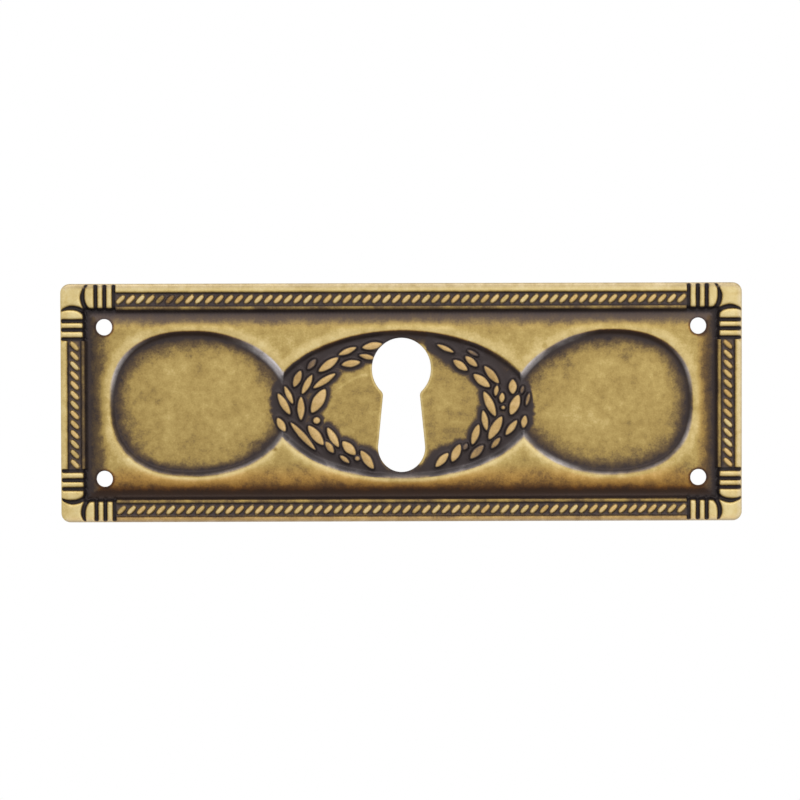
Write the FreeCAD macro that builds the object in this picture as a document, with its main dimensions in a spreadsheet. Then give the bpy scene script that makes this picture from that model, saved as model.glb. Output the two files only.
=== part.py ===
import FreeCAD, Part
import math
import os

import Sketcher

# Keyhole escutcheon for a drawer, pressed from one sheet of brass, in millimetres.
# The front faces -Y, the keyhole's round head is towards +Z, and the origin is the
# plate's centre on the wall plane. A level is a distance in front of the wall, an inset
# is a distance in from the plate's edge, and a reach is a distance along the border
# from the plate's corner.

SIZES = [
    # Sheet and outline
    ("plate_width", 88.0),
    ("plate_height", 30.8),
    ("sheet_thickness", 0.7),
    ("corner_radius", 1.2),
    ("edge_bevel", 0.3),
    # Raised border
    ("border_level", 2.0),
    ("border_width", 3.05),
    ("border_bevel_run", 0.45),
    ("border_bevel_drop", 0.85),
    ("trough_inset", 0.95),
    ("trough_width", 1.7),
    ("trough_depth", 0.35),
    # Rope in the trough
    ("strand_pitch", 1.27),
    ("strand_length", 1.85),
    ("strand_width", 0.95),
    ("strand_height", 0.3),
    ("strand_bevel", 0.2),
    ("strand_lean", 52.0),
    ("strand_root", 0.1),
    # Bands that bind the rope at each corner
    ("lobe_reach", 3.0),
    ("lobe_radius", 2.6),
    ("band_reach", 4.62),
    ("band_pitch", 1.15),
    ("groove_width", 0.45),
    ("groove_depth", 0.3),
    # Cushioned field inside the border
    ("field_level", 1.0),
    ("cove_width", 0.4),
    ("cushion_run", 1.7),
    ("cushion_step", 0.1),
    ("cushion_rise", 0.6),
    # Sunk ovals
    ("oval_half_height", 9.4),
    ("centre_oval_half_width", 17.0),
    ("side_oval_centre", 26.75),
    ("side_oval_inner", 12.6),
    ("side_oval_outer", 10.9),
    ("side_oval_fullness", 2.45),
    ("oval_wall_run", 0.45),
    # Keyhole
    ("head_radius", 3.9),
    ("head_centre", 4.33),
    ("neck_width", 4.7),
    ("foot_radius", 3.05),
    ("foot_centre", -5.83),
    # Pin holes
    ("pin_hole", 2.1),
    ("pin_inset", 5.6),
    # Hollow behind the cushion, which clears the pin holes
    ("hollow_rise", 0.5),
    ("hollow_margin", 0.1),
    # Laurel leaves
    ("leaf_length", 3.3),
    ("leaf_width", 1.4),
    ("leaf_height", 0.5),
    ("leaf_bevel", 0.4),
    ("leaf_root", 0.1),
    ("leaf_pitch", 2.9),
]

# The wreath's files on one side, from the outer one to the inner one: how far inside the
# centre oval's end and top the file's ellipse lies, how much lower its middle is, the
# angles on it where the file starts and ends, and how far the leaves splay outward
WREATH_FILES = [
    (1.6, 1.6, 0.3, 243, 102, 18),
    (3.8, 2.1, 0.5, 236, 130, 2),
    (6.0, 2.5, 0.8, 248, 112, -16),
]

NODE = "escutcheon_plate"

doc = FreeCAD.newDocument("keyhole_escutcheon")
sheet = doc.addObject("Spreadsheet::Sheet", "sizes")
for row, (alias, number) in enumerate(SIZES, start=1):
    sheet.set("A%d" % row, alias)
    sheet.set("B%d" % row, str(number))
    sheet.setAlias("B%d" % row, alias)
doc.recompute()


def value(expression):
    """The number that an expression over the sheet gives."""
    return float(sheet.evalExpression(expression))


# Places that several features share, as expressions over the sheet
HALF_WIDTH = "(sizes.plate_width / 2)"
HALF_HEIGHT = "(sizes.plate_height / 2)"
BACK_LEVEL = "(sizes.field_level - sizes.sheet_thickness)"
CUSHION_LEVEL = "(sizes.field_level + sizes.cushion_rise)"
BORDER_FOOT = "(sizes.border_width + sizes.border_bevel_run)"
CUSHION_FOOT = "(%s + sizes.cove_width)" % BORDER_FOOT
TROUGH_LEVEL = "(sizes.border_level - sizes.trough_depth)"
ROPE_INSET = "(sizes.trough_inset + sizes.trough_width / 2)"
ROPE_REACH = "(sizes.band_reach + 2 * sizes.band_pitch + sizes.groove_width / 2)"


# Sketching

def origin_part(body, role):
    """One of the planes or axes of a body."""
    return [part for part in body.Origin.OriginFeatures if part.Role == role][0]


def front_sketch(body, name, level):
    """A sketch parallel to the wall, with X across, Y up and its normal to the front."""
    sketch = body.newObject("Sketcher::SketchObject", name)
    sketch.AttachmentSupport = [(origin_part(body, "XZ_Plane"), "")]
    sketch.MapMode = "FlatFace"
    sketch.setExpression("AttachmentOffset.Base.z", level)
    return sketch


def pin_vertex(sketch, geometry, vertex, across=None, up=None):
    """Ties a vertex to its place, given as expressions."""
    for kind, expression in (("DistanceX", across), ("DistanceY", up)):
        if expression is None:
            continue
        rule = Sketcher.Constraint(kind, -1, 1, geometry, vertex, value(expression))
        number = sketch.addConstraint(rule)
        sketch.setExpression("Constraints[%d]" % number, expression)


def point(place):
    """The sketch point of an (across, up) pair of expressions."""
    return FreeCAD.Vector(value(place[0]), value(place[1]), 0)


def add_line(sketch, start, end):
    line = sketch.addGeometry(Part.LineSegment(point(start), point(end)), False)
    pin_vertex(sketch, line, 1, *start)
    pin_vertex(sketch, line, 2, *end)


def add_arc(sketch, centre, start, end):
    """An arc that runs anticlockwise from start to end."""
    middle = point(centre)
    from_middle = point(start) - middle
    to_end = point(end) - middle
    circle = Part.Circle(middle, FreeCAD.Vector(0, 0, 1), from_middle.Length)
    first = math.atan2(from_middle.y, from_middle.x)
    last = math.atan2(to_end.y, to_end.x)
    if last <= first:
        last += 2 * math.pi
    arc = sketch.addGeometry(Part.ArcOfCircle(circle, first, last), False)
    pin_vertex(sketch, arc, 3, *centre)
    pin_vertex(sketch, arc, 1, *start)
    if abs(to_end.x) > abs(to_end.y):
        pin_vertex(sketch, arc, 2, up=end[1])
    else:
        pin_vertex(sketch, arc, 2, across=end[0])


def add_circle(sketch, centre, radius):
    circle = Part.Circle(point(centre), FreeCAD.Vector(0, 0, 1), value(radius))
    number = sketch.addGeometry(circle, False)
    pin_vertex(sketch, number, 3, *centre)
    rule = sketch.addConstraint(Sketcher.Constraint("Radius", number, value(radius)))
    sketch.setExpression("Constraints[%d]" % rule, radius)


def add_polygon(sketch, corners):
    for start, end in zip(corners, corners[1:] + corners[:1]):
        add_line(sketch, start, end)


def add_rectangle(sketch, left, bottom, right, top):
    add_polygon(sketch, [(left, bottom), (right, bottom), (right, top), (left, top)])


def add_inset_rectangle(sketch, inset):
    """The plate's rectangle, drawn in by an inset all round."""
    across = "(%s - %s)" % (HALF_WIDTH, inset)
    up = "(%s - %s)" % (HALF_HEIGHT, inset)
    add_rectangle(sketch, "-" + across, "-" + up, across, up)


# Features

def extrude(body, kind, name, sketch, length, backward=False):
    """A Pad or Pocket of a sketch. A pad grows to the front unless backward is set."""
    feature = body.newObject("PartDesign::" + kind, name)
    feature.Profile = sketch
    feature.Reversed = backward
    feature.setExpression("Length", length)
    before = 0 if body.Shape.isNull() else body.Shape.Volume
    body.Tip = feature
    doc.recompute()
    if abs(feature.Shape.Volume - before) < 1e-6:
        raise RuntimeError(name + " changes nothing")
    return feature


def bevel(body, name, feature, edges, run, drop, outward=False):
    """Chamfers front edges: run is measured along the front, drop towards the wall.

    Outward is for the rim of something raised, and without it the rim is a recess's.
    """
    chamfer = body.newObject("PartDesign::Chamfer", name)
    chamfer.Base = (feature, edges)
    chamfer.ChamferType = "Two distances"
    chamfer.FlipDirection = outward
    chamfer.setExpression("Size", run)
    chamfer.setExpression("Size2", drop)
    body.Tip = chamfer
    doc.recompute()
    return chamfer


def loft(body, kind, name, first, last):
    feature = body.newObject("PartDesign::" + kind, name)
    feature.Profile = first
    feature.Sections = [last]
    feature.Ruled = True
    body.Tip = feature
    doc.recompute()
    return feature


def transform(body, name, feature, steps):
    """Repeats a feature by patterns and mirrors, given as (kind, settings) pairs."""
    repeat = body.newObject("PartDesign::MultiTransform", name)
    repeat.Originals = [feature]
    transformations = []
    for kind, settings in steps:
        step = body.newObject("PartDesign::" + kind, "%s_%s" % (name, kind))
        for key, setting in settings.items():
            if key in ("Length", "Occurrences"):
                step.setExpression(key, setting)
            else:
                setattr(step, key, setting)
        transformations.append(step)
    repeat.Transformations = transformations
    body.Tip = repeat
    doc.recompute()
    return repeat


def edges_at_level(shape, level):
    """Names of the edges that lie in a plane parallel to the wall."""
    depth = -value(level)
    names = []
    for number, edge in enumerate(shape.Edges, start=1):
        box = edge.BoundBox
        if max(abs(box.YMin - depth), abs(box.YMax - depth)) < 1e-4:
            names.append("Edge%d" % number)
    return names


def inner_edges(shape, level, inset):
    """Names of the edges at a level whose length lies along the rectangle at an inset."""
    across = value("%s - %s" % (HALF_WIDTH, inset))
    up = value("%s - %s" % (HALF_HEIGHT, inset))
    names = []
    for name in edges_at_level(shape, level):
        box = shape.getElement(name).BoundBox
        on_side = min(abs(abs(box.XMin) - across), abs(abs(box.ZMin) - up)) < 1e-4
        if on_side and box.DiagonalLength > 2 * min(across, up) - 1e-3:
            names.append(name)
    return names


def oval_curve(side, centre, inner, outer, half_height, fullness):
    """A closed oval in a sketch, elliptical on the inner half and fuller on the outer."""
    places = []
    steps = 16
    for step in range(steps):
        angle = 2 * math.pi * step / steps
        outward = math.cos(angle)
        up = math.sin(angle)
        half_width = outer if outward > 0 else inner
        power = 2 / fullness if outward > 0 else 1
        across = centre + half_width * math.copysign(abs(outward) ** power, outward)
        height = half_height * math.copysign(abs(up) ** power, up)
        places.append(FreeCAD.Vector(side * across, height, 0))
    curve = Part.BSplineCurve()
    curve.interpolate(Points=places, PeriodicFlag=True)
    return curve


def oval_sketch(body, name, side, grow, level):
    """An oval's outline, grown by a distance: side -1 left, 0 centre, +1 right."""
    sketch = front_sketch(body, name, level)
    half_height = value("sizes.oval_half_height + " + grow)
    if side == 0:
        half_width = value("sizes.centre_oval_half_width + " + grow)
        curve = oval_curve(1, 0, half_width, half_width, half_height, 2)
    else:
        inner = value("sizes.side_oval_inner + " + grow)
        outer = value("sizes.side_oval_outer + " + grow)
        fullness = value("sizes.side_oval_fullness")
        centre = value("sizes.side_oval_centre")
        curve = oval_curve(side, centre, inner, outer, half_height, fullness)
    sketch.addGeometry(curve, False)
    return sketch


def unnamed(shape):
    """A copy of a shape that carries no names of faces and edges, which fuses faster."""
    copy = shape.copy()
    copy.Tag = 0
    return copy


# The plate

def pressed_blank(body):
    """The border block with its rounded corners and bevelled front edge."""
    outline = front_sketch(body, "outline", "0")
    add_inset_rectangle(outline, "0")
    blank = extrude(body, "Pad", "blank", outline, "sizes.border_level")

    corners = body.newObject("PartDesign::Fillet", "corner_rounds")
    deep_edges = [name for name in ("Edge%d" % number for number in range(1, 13))
                  if blank.Shape.getElement(name).BoundBox.YLength > 1e-4]
    corners.Base = (blank, deep_edges)
    corners.setExpression("Radius", "sizes.corner_radius")
    body.Tip = corners
    doc.recompute()

    edges = edges_at_level(corners.Shape, "sizes.border_level")
    bevel(body, "front_bevel", corners, edges, "sizes.edge_bevel", "sizes.edge_bevel", outward=True)


def back_hollow(body):
    """The hollow back: its rim, the channel behind the border and the ovals' backs."""
    hollow = front_sketch(body, "hollow_outline", "0")
    add_inset_rectangle(hollow, "sizes.sheet_thickness")
    extrude(body, "Pocket", "hollow", hollow, BACK_LEVEL, backward=True)

    channel = front_sketch(body, "channel_outline", "0")
    add_inset_rectangle(channel, "sizes.sheet_thickness")
    add_inset_rectangle(channel, "(%s - sizes.sheet_thickness)" % BORDER_FOOT)
    depth = "%s - sizes.sheet_thickness" % TROUGH_LEVEL
    extrude(body, "Pocket", "border_channel", channel, depth, backward=True)

    cushion_back = front_sketch(body, "cushion_back_outline", "0")
    add_inset_rectangle(cushion_back, "(sizes.pin_inset - sizes.pin_hole / 2 - sizes.hollow_margin)")
    depth = "%s + sizes.hollow_rise" % BACK_LEVEL
    extrude(body, "Pocket", "cushion_back", cushion_back, depth, backward=True)

    for side, name in ((-1, "left"), (0, "centre"), (1, "right")):
        outline = oval_sketch(body, name + "_oval_back", side, "sizes.sheet_thickness", BACK_LEVEL)
        extrude(body, "Pad", name + "_oval_boss", outline, "sizes.hollow_rise")


def cushioned_field(body):
    """The recess inside the border and the cushion that rises from it."""
    recess = front_sketch(body, "recess_outline", "sizes.border_level")
    add_inset_rectangle(recess, BORDER_FOOT)
    depth = "sizes.border_level - sizes.field_level"
    cut = extrude(body, "Pocket", "recess", recess, depth)
    edges = inner_edges(cut.Shape, "sizes.border_level", BORDER_FOOT)
    bevel(body, "border_bevel", cut, edges, "sizes.border_bevel_run", "sizes.border_bevel_drop")

    foot = front_sketch(body, "cushion_outline", "sizes.field_level")
    add_inset_rectangle(foot, CUSHION_FOOT)
    cushion = extrude(body, "Pad", "cushion", foot, "sizes.cushion_rise")
    edges = inner_edges(cushion.Shape, CUSHION_LEVEL, CUSHION_FOOT)
    drop = "sizes.cushion_rise - sizes.cushion_step"
    bevel(body, "cushion_slope", cushion, edges, "sizes.cushion_run", drop, outward=True)


def sunk_ovals(body):
    """Three overlapping ovals sunk in the cushion, with sloping walls."""
    for side, name in ((-1, "left"), (0, "centre"), (1, "right")):
        rim = oval_sketch(body, name + "_oval_rim", side, "0", CUSHION_LEVEL)
        shrink = "-sizes.oval_wall_run"
        floor = oval_sketch(body, name + "_oval_floor", side, shrink, "sizes.field_level")
        loft(body, "SubtractiveLoft", name + "_oval", rim, floor)


def keyhole_outline(sketch):
    head = ("0", "sizes.head_centre")
    foot = ("0", "sizes.foot_centre")
    half_neck = "sizes.neck_width / 2"
    neck = "(sizes.head_centre - sqrt(sizes.head_radius ^ 2 - (%s) ^ 2))" % half_neck
    neck_right = (half_neck, neck)
    neck_left = ("-" + half_neck, neck)
    foot_left = ("-sizes.foot_radius", "sizes.foot_centre")
    foot_right = ("sizes.foot_radius", "sizes.foot_centre")
    add_arc(sketch, head, neck_right, neck_left)
    add_line(sketch, neck_left, foot_left)
    add_arc(sketch, foot, foot_left, foot_right)
    add_line(sketch, foot_right, neck_right)


def openings(body):
    """The keyhole and the four pin holes."""
    outline = front_sketch(body, "keyhole_outline", "0")
    keyhole_outline(outline)
    extrude(body, "Pocket", "keyhole", outline, "sizes.border_level", backward=True)

    holes = front_sketch(body, "pin_circles", "0")
    for across in ("-", ""):
        for up in ("-", ""):
            centre = (across + "(%s - sizes.pin_inset)" % HALF_WIDTH,
                      up + "(%s - sizes.pin_inset)" % HALF_HEIGHT)
            add_circle(holes, centre, "sizes.pin_hole / 2")
    extrude(body, "Pocket", "pin_holes", holes, "sizes.border_level", backward=True)


def section_sketch(body, name, plane, strip, inset):
    """The V of the first corner groove, drawn square to the border's strip at an inset."""
    sketch = body.newObject("Sketcher::SketchObject", name)
    sketch.AttachmentSupport = [(origin_part(body, plane), "")]
    sketch.MapMode = "FlatFace"
    near = "sizes.band_reach - sizes.groove_width / 2"
    far = "sizes.band_reach + sizes.groove_width / 2"
    front = "-sizes.border_level"
    bottom = "-(sizes.border_level - sizes.groove_depth)"
    if strip == "top":
        sketch.setExpression("AttachmentOffset.Base.z", "%s - %s" % (HALF_HEIGHT, inset))
        places = [("%s - %s" % (reach, HALF_WIDTH), level)
                  for reach, level in ((near, front), (far, front), ("sizes.band_reach", bottom))]
    else:
        sketch.setExpression("AttachmentOffset.Base.z", "%s - %s" % (inset, HALF_WIDTH))
        places = [(level, "%s - (%s)" % (HALF_HEIGHT, reach))
                  for reach, level in ((near, front), (far, front), ("sizes.band_reach", bottom))]
    add_polygon(sketch, places)
    return sketch


def border_place(strip, reach, inset):
    """A place at the upper left corner, on the border's top strip or on its left one."""
    if strip == "top":
        return ("-(%s - %s)" % (HALF_WIDTH, reach), "(%s - %s)" % (HALF_HEIGHT, inset))
    return ("-(%s - %s)" % (HALF_WIDTH, inset), "(%s - %s)" % (HALF_HEIGHT, reach))


def border_carving(body):
    """The troughs for the rope, and the grooves that part the corner bands."""
    troughs = front_sketch(body, "trough_outlines", "sizes.border_level")
    outer = "sizes.trough_inset"
    inner = "(sizes.trough_inset + sizes.trough_width)"
    for side in ("-", ""):
        across = [side + "(%s - %s)" % (HALF_WIDTH, inset) for inset in (outer, inner)]
        up = [side + "(%s - %s)" % (HALF_HEIGHT, inset) for inset in (outer, inner)]
        end = "(%s - %s)" % (HALF_HEIGHT, ROPE_REACH)
        add_rectangle(troughs, across[0], "-" + end, across[1], end)
        end = "(%s - %s)" % (HALF_WIDTH, ROPE_REACH)
        add_rectangle(troughs, "-" + end, up[0], end, up[1])
    extrude(body, "Pocket", "troughs", troughs, "sizes.trough_depth")

    past_edge = "(-sizes.groove_width)"
    past_border = "(%s + sizes.groove_width)" % BORDER_FOOT
    mirrors = [
        ("Mirrored", {"MirrorPlane": (origin_part(body, "YZ_Plane"), [""])}),
        ("Mirrored", {"MirrorPlane": (origin_part(body, "XY_Plane"), [""])}),
    ]
    for strip, plane, axis in (("top", "XY_Plane", "X_Axis"), ("left", "YZ_Plane", "Z_Axis")):
        profile = section_sketch(body, strip + "_groove_profile", plane, strip, past_border)
        cut = extrude(body, "Pocket", strip + "_groove", profile, "%s - %s" % (past_border, past_edge),
                      backward=(strip == "top"))
        row = ("LinearPattern", {
            "Direction": (origin_part(body, axis), [""]),
            "Reversed": strip == "left",
            "Length": "2 * sizes.band_pitch",
            "Occurrences": "3",
        })
        transform(body, strip + "_grooves", cut, [row] + mirrors)

        lobe = front_sketch(body, strip + "_lobe_outline", "sizes.border_level")
        lobe_arc(lobe, strip)
        cut = extrude(body, "Pocket", strip + "_lobe_groove", lobe, "sizes.groove_depth")
        transform(body, strip + "_lobe_grooves", cut, mirrors)


def lobe_arc(sketch, strip):
    """The curved groove round a lobe's end, across the border's whole width."""
    middle = "(sizes.border_width / 2)"
    half_span = "(%s + sizes.border_bevel_run + sizes.groove_width / 2)" % middle
    outer = "(%s - %s)" % (middle, half_span)
    inner = "(%s + %s)" % (middle, half_span)
    centre_reach = "(sizes.lobe_reach + sizes.lobe_radius)"
    centre = border_place(strip, centre_reach, middle)
    ends = []
    for radius in ("sizes.lobe_radius", "(sizes.lobe_radius + sizes.groove_width)"):
        reach = "(%s - sqrt(%s ^ 2 - %s ^ 2))" % (centre_reach, radius, half_span)
        pair = [border_place(strip, reach, outer), border_place(strip, reach, inner)]
        ends.append(pair)
        start, end = pair if strip == "top" else pair[::-1]
        add_arc(sketch, centre, start, end)
    add_line(sketch, ends[0][0], ends[1][0])
    add_line(sketch, ends[0][1], ends[1][1])


# The rope

def rope_strand():
    """One strand of the rope at the origin, lying along X, with bevelled sides."""
    body = doc.addObject("PartDesign::Body", "rope_strand")
    outline = front_sketch(body, "strand_outline", "%s - sizes.strand_root" % TROUGH_LEVEL)
    tip = "sizes.strand_length / 2"
    shoulder = "sizes.strand_length / 5"
    half = "sizes.strand_width / 2"
    add_polygon(outline, [(tip, "0"), (shoulder, half), ("-" + shoulder, half),
                          ("-" + tip, "0"), ("-" + shoulder, "-" + half), (shoulder, "-" + half)])
    strand = extrude(body, "Pad", "strand", outline, "sizes.strand_height + sizes.strand_root")
    edges = edges_at_level(strand.Shape, "%s + sizes.strand_height" % TROUGH_LEVEL)
    drop = "sizes.strand_height + sizes.strand_root / 2"
    bevel(body, "strand_sides", strand, edges, "sizes.strand_bevel", drop, outward=True)
    return body.Shape


def rope(strand):
    """Strands side by side along each trough, leaning as a twisted rope's do."""
    front = FreeCAD.Vector(0, -1, 0)
    pitch = value("sizes.strand_pitch")
    strands = []
    for upright in (False, True):
        run = value(HALF_HEIGHT if upright else HALF_WIDTH) - value(ROPE_REACH)
        offset = value(HALF_WIDTH if upright else HALF_HEIGHT) - value(ROPE_INSET)
        turn = value("90 + sizes.strand_lean" if upright else "sizes.strand_lean")
        count = round(2 * run / pitch)
        for side in (-1, 1):
            for number in range(count):
                along = (number - (count - 1) / 2) * pitch
                place = FreeCAD.Vector(along, 0, side * offset)
                if upright:
                    place = FreeCAD.Vector(side * offset, 0, along)
                copy = strand.copy()
                copy.rotate(FreeCAD.Vector(0, 0, 0), front, turn)
                copy.translate(place)
                strands.append(copy)
    return strands


# The laurel wreath

def laurel_leaf():
    """One leaf at the origin, with its tips along X and bevelled sides."""
    body = doc.addObject("PartDesign::Body", "laurel_leaf")
    outline = front_sketch(body, "leaf_outline", "sizes.field_level - sizes.leaf_root")
    half_length = "sizes.leaf_length / 2"
    half_width = "sizes.leaf_width / 2"
    corners = []
    for side in (1, -1):
        for step in range(4):
            angle = 45 * side * step if side > 0 else 180 + 45 * step
            corners.append((
                "%s * cos(%d deg)" % (half_length, angle),
                "%s * sin(%d deg)" % (half_width, angle),
            ))
    add_polygon(outline, corners)
    leaf = extrude(body, "Pad", "leaf", outline, "sizes.leaf_height + sizes.leaf_root")
    edges = edges_at_level(leaf.Shape, "sizes.field_level + sizes.leaf_height")
    drop = "sizes.leaf_height + sizes.leaf_root / 2"
    bevel(body, "leaf_sides", leaf, edges, "sizes.leaf_bevel", drop, outward=True)
    return body.Shape


def leaf_file(leaf, end_inset, top_inset, drop, first, last, splay):
    """A file of leaves along an ellipse inside the centre oval, up its left side.

    The insets are taken at the oval's end and top, drop lowers the ellipse, the angles
    are where the file starts and ends on it, and splay turns each leaf out from the way
    the branch grows.
    """
    half_width = value("sizes.centre_oval_half_width") - end_inset
    half_height = value("sizes.oval_half_height") - top_inset
    middle = FreeCAD.Vector(0, 0, -drop)
    ellipse = Part.Ellipse(middle + FreeCAD.Vector(half_width, 0, 0),
                           middle + FreeCAD.Vector(0, 0, half_height), middle)
    path = ellipse.toShape(math.radians(last), math.radians(first))
    count = max(2, round(path.Length / value("sizes.leaf_pitch")))
    leaves = []
    for place in path.discretize(Number=count):
        growth = path.tangentAt(path.Curve.parameter(place)) * -1
        heading = math.degrees(math.atan2(growth.z, growth.x)) + splay
        copy = leaf.copy()
        copy.rotate(FreeCAD.Vector(0, 0, 0), FreeCAD.Vector(0, -1, 0), heading)
        copy.translate(place)
        leaves.append(copy)
    return leaves


def wreath(leaf):
    """Two laurel branches from the foot of the centre oval, each with three files."""
    branch = []
    for settings in WREATH_FILES:
        branch += leaf_file(leaf, *settings)
    mirrored = [part.mirror(FreeCAD.Vector(0, 0, 0), FreeCAD.Vector(1, 0, 0)) for part in branch]
    return branch + mirrored


# Assembly of the one piece

plate = doc.addObject("PartDesign::Body", "plate")
pressed_blank(plate)
cushioned_field(plate)
border_carving(plate)
back_hollow(plate)
sunk_ovals(plate)
openings(plate)

rope_relief = doc.addObject("Part::Feature", "rope_relief")
rope_relief.Shape = Part.makeCompound(rope(rope_strand()))

cutter = doc.addObject("PartDesign::Body", "keyhole_cutter")
cutter_outline = front_sketch(cutter, "cutter_outline", "0")
keyhole_outline(cutter_outline)
extrude(cutter, "Pad", "cutter", cutter_outline, "2 * sizes.border_level")

leaves = wreath(laurel_leaf())
wreath_relief = doc.addObject("Part::Feature", "wreath_relief")
wreath_relief.Shape = unnamed(leaves[0].multiFuse(leaves[1:])).cut(unnamed(cutter.Shape))

escutcheon = doc.addObject("Part::Feature", NODE)
escutcheon.Label = NODE
relief = unnamed(rope_relief.Shape).fuse(unnamed(wreath_relief.Shape))
escutcheon.Shape = unnamed(plate.Shape).fuse(unnamed(relief))
doc.recompute()

for item in doc.Objects:
    if "Invalid" in item.State or "Error" in item.State:
        raise RuntimeError("%s failed" % item.Label)
shape = escutcheon.Shape
if shape.isNull() or not shape.isValid() or len(shape.Solids) != 1:
    raise RuntimeError("%s isn't one valid solid" % NODE)

os.makedirs("parts", exist_ok=True)
shape.exportStep(os.path.join("parts", NODE + ".step"))
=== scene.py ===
import math

import bpy
import numpy as np
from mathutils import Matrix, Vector
from mathutils.geometry import delaunay_2d_cdt


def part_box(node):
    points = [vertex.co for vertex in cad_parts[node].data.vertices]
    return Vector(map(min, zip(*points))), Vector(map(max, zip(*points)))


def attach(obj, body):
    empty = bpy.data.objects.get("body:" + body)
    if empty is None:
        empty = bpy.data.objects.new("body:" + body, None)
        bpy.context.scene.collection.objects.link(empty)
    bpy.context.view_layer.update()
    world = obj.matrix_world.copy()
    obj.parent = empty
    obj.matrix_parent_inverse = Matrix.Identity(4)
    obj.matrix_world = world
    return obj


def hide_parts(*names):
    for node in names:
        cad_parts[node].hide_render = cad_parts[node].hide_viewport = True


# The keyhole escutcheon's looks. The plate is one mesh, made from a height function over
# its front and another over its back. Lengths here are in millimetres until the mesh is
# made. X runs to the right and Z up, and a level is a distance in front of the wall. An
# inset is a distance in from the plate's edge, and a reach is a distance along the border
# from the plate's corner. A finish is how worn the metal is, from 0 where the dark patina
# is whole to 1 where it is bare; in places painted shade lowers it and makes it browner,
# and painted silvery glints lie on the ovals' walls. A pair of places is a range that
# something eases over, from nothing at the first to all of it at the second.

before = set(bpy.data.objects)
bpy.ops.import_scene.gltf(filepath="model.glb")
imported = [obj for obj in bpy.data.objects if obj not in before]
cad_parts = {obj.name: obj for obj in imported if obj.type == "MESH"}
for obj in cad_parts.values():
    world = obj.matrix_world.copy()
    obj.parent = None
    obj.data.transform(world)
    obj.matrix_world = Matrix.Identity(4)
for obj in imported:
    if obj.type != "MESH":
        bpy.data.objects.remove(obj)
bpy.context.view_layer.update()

MM = 0.001
NODE = "escutcheon_plate"

low_corner, high_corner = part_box(NODE)
HALF_WIDTH = high_corner[0] / MM
HALF_HEIGHT = high_corner[2] / MM
BORDER_LEVEL = -low_corner[1] / MM

# Values that are given for each side of the plate are in this order
TOP, BOTTOM, LEFT, RIGHT = range(4)

CORNER_RADIUS = 1.2
EDGE_ROLL = 0.35
SHEET = 0.7
FIELD_LEVEL = 1.0
CUSHION_LEVEL = 1.6
CUSHION_SLOPE = (3.6, 5.9)

# Border. The pressing sits a little low in the plate's outline.
PRESSING_DROP = 0.23
BORDER_END = (3.8, 3.3)
TROUGH_LEVEL = 1.62
TROUGH_SIDES = ((0.98, 1.18), (2.62, 2.42))
ROPE_INSET = 1.80
ROPE_REACH = 7.15
ROPE_START = (ROPE_REACH - 0.1, ROPE_REACH + 0.05)
LONG_STRANDS = 58
SHORT_STRANDS = 13
STRAND_LEAN = math.radians(44)
STRAND_LEVEL = 1.95
STRAND_HALF_LENGTH = 0.71
STRAND_HALF_WIDTH = 0.31
STRAND_FULLNESS = 2.5
STRAND_SIDE = (0.20, -0.12)

# Grooves part the bands at the corners, and curved ones end the lobes there
GROOVE_REACHES = (4.56, 5.70, 6.90)
GROOVE_DEPTH = 0.42
GROOVE_HALF_WIDTH = 0.25
GROOVE_INNER_END = (3.5, 3.1)
GROOVE_OUTER_END = (-0.05, 0.30)
LOBE_CENTRE = (5.35, 1.45)
LOBE_RADIUS = 2.5
LOBE_GROOVE_HALF_WIDTHS = (0.14, 0.30)
LOBE_GROOVE_WIDENING = (0.2, 1.5)

# The border's section beside the rope, and where the corner bands cross it
ROPE_SECTION = (
    (0.35, 2.00), (0.74, 2.00), (0.86, 1.94), (0.96, 1.78), (1.06, 1.65), (1.16, 1.62),
    (2.46, 1.62), (2.60, 1.68), (2.72, 1.82), (2.82, 1.88), (2.98, 1.88), (3.08, 1.79),
    (3.18, 1.58), (3.32, 1.30), (3.46, 1.12), (3.62, 1.03), (3.80, 1.00),
)
BAND_SECTION = (
    (0.35, 2.00), (2.50, 2.00), (2.70, 1.96), (2.85, 1.86), (2.98, 1.65), (3.12, 1.40),
    (3.30, 1.15), (3.55, 1.03), (3.80, 1.00),
)

# Ovals. None is quite an ellipse: the powers give each quarter's fullness, 2 an ellipse's.
# Pairs of fullnesses and heights are for the lower half and the upper.
OVAL_HALF_HEIGHT = 9.4
LEFT_OVAL_DROP = 0.10
CENTRE_OVAL_HALF_HEIGHTS = (9.82, 9.32)
CENTRE_OVAL_FULLNESS = (2.08, 1.93)
CENTRE_OVAL_HALF_WIDTH = 17.0
CENTRE_OVAL_RIGHT_FOOT_GAIN = 0.5
CENTRE_OVAL_FOOT = (0.0, -3.0)
SIDE_OVAL_CENTRE = 26.75
SIDE_OVAL_INNER = 12.6
SIDE_OVAL_OUTER = 10.9
SIDE_OVAL_FULLNESS = 2.45
LEFT_OVAL_INNER_FULLNESS = (2.08, 1.97)
RIGHT_OVAL_INNER_FULLNESS = (1.92, 1.80)
OVAL_WALL = (-0.75, 0.04)
RIM_DIP = 0.05
RIM_DIP_RUN = (0.55, 0.0)
FLOOR_CROWN = 0.14
FLOOR_CROWN_RUN = (-0.5, -8.0)

# Keyhole and pin holes
HEAD_RADIUS = 3.9
HEAD_CENTRE = 4.33
HEAD_NARROWING = 1.022
NECK_HALF_WIDTH = 2.35
NECK_Z = 1.22
FOOT_RADIUS = 3.05
FOOT_CENTRE = -5.83
FOOT_STRETCH = 1.06
NECK_BLEND = 0.35
KEYHOLE_ROLL = 0.28
PIN_RADIUS = 1.05
PIN_INSET = 5.6
PIN_ROLL = 0.12

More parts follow.
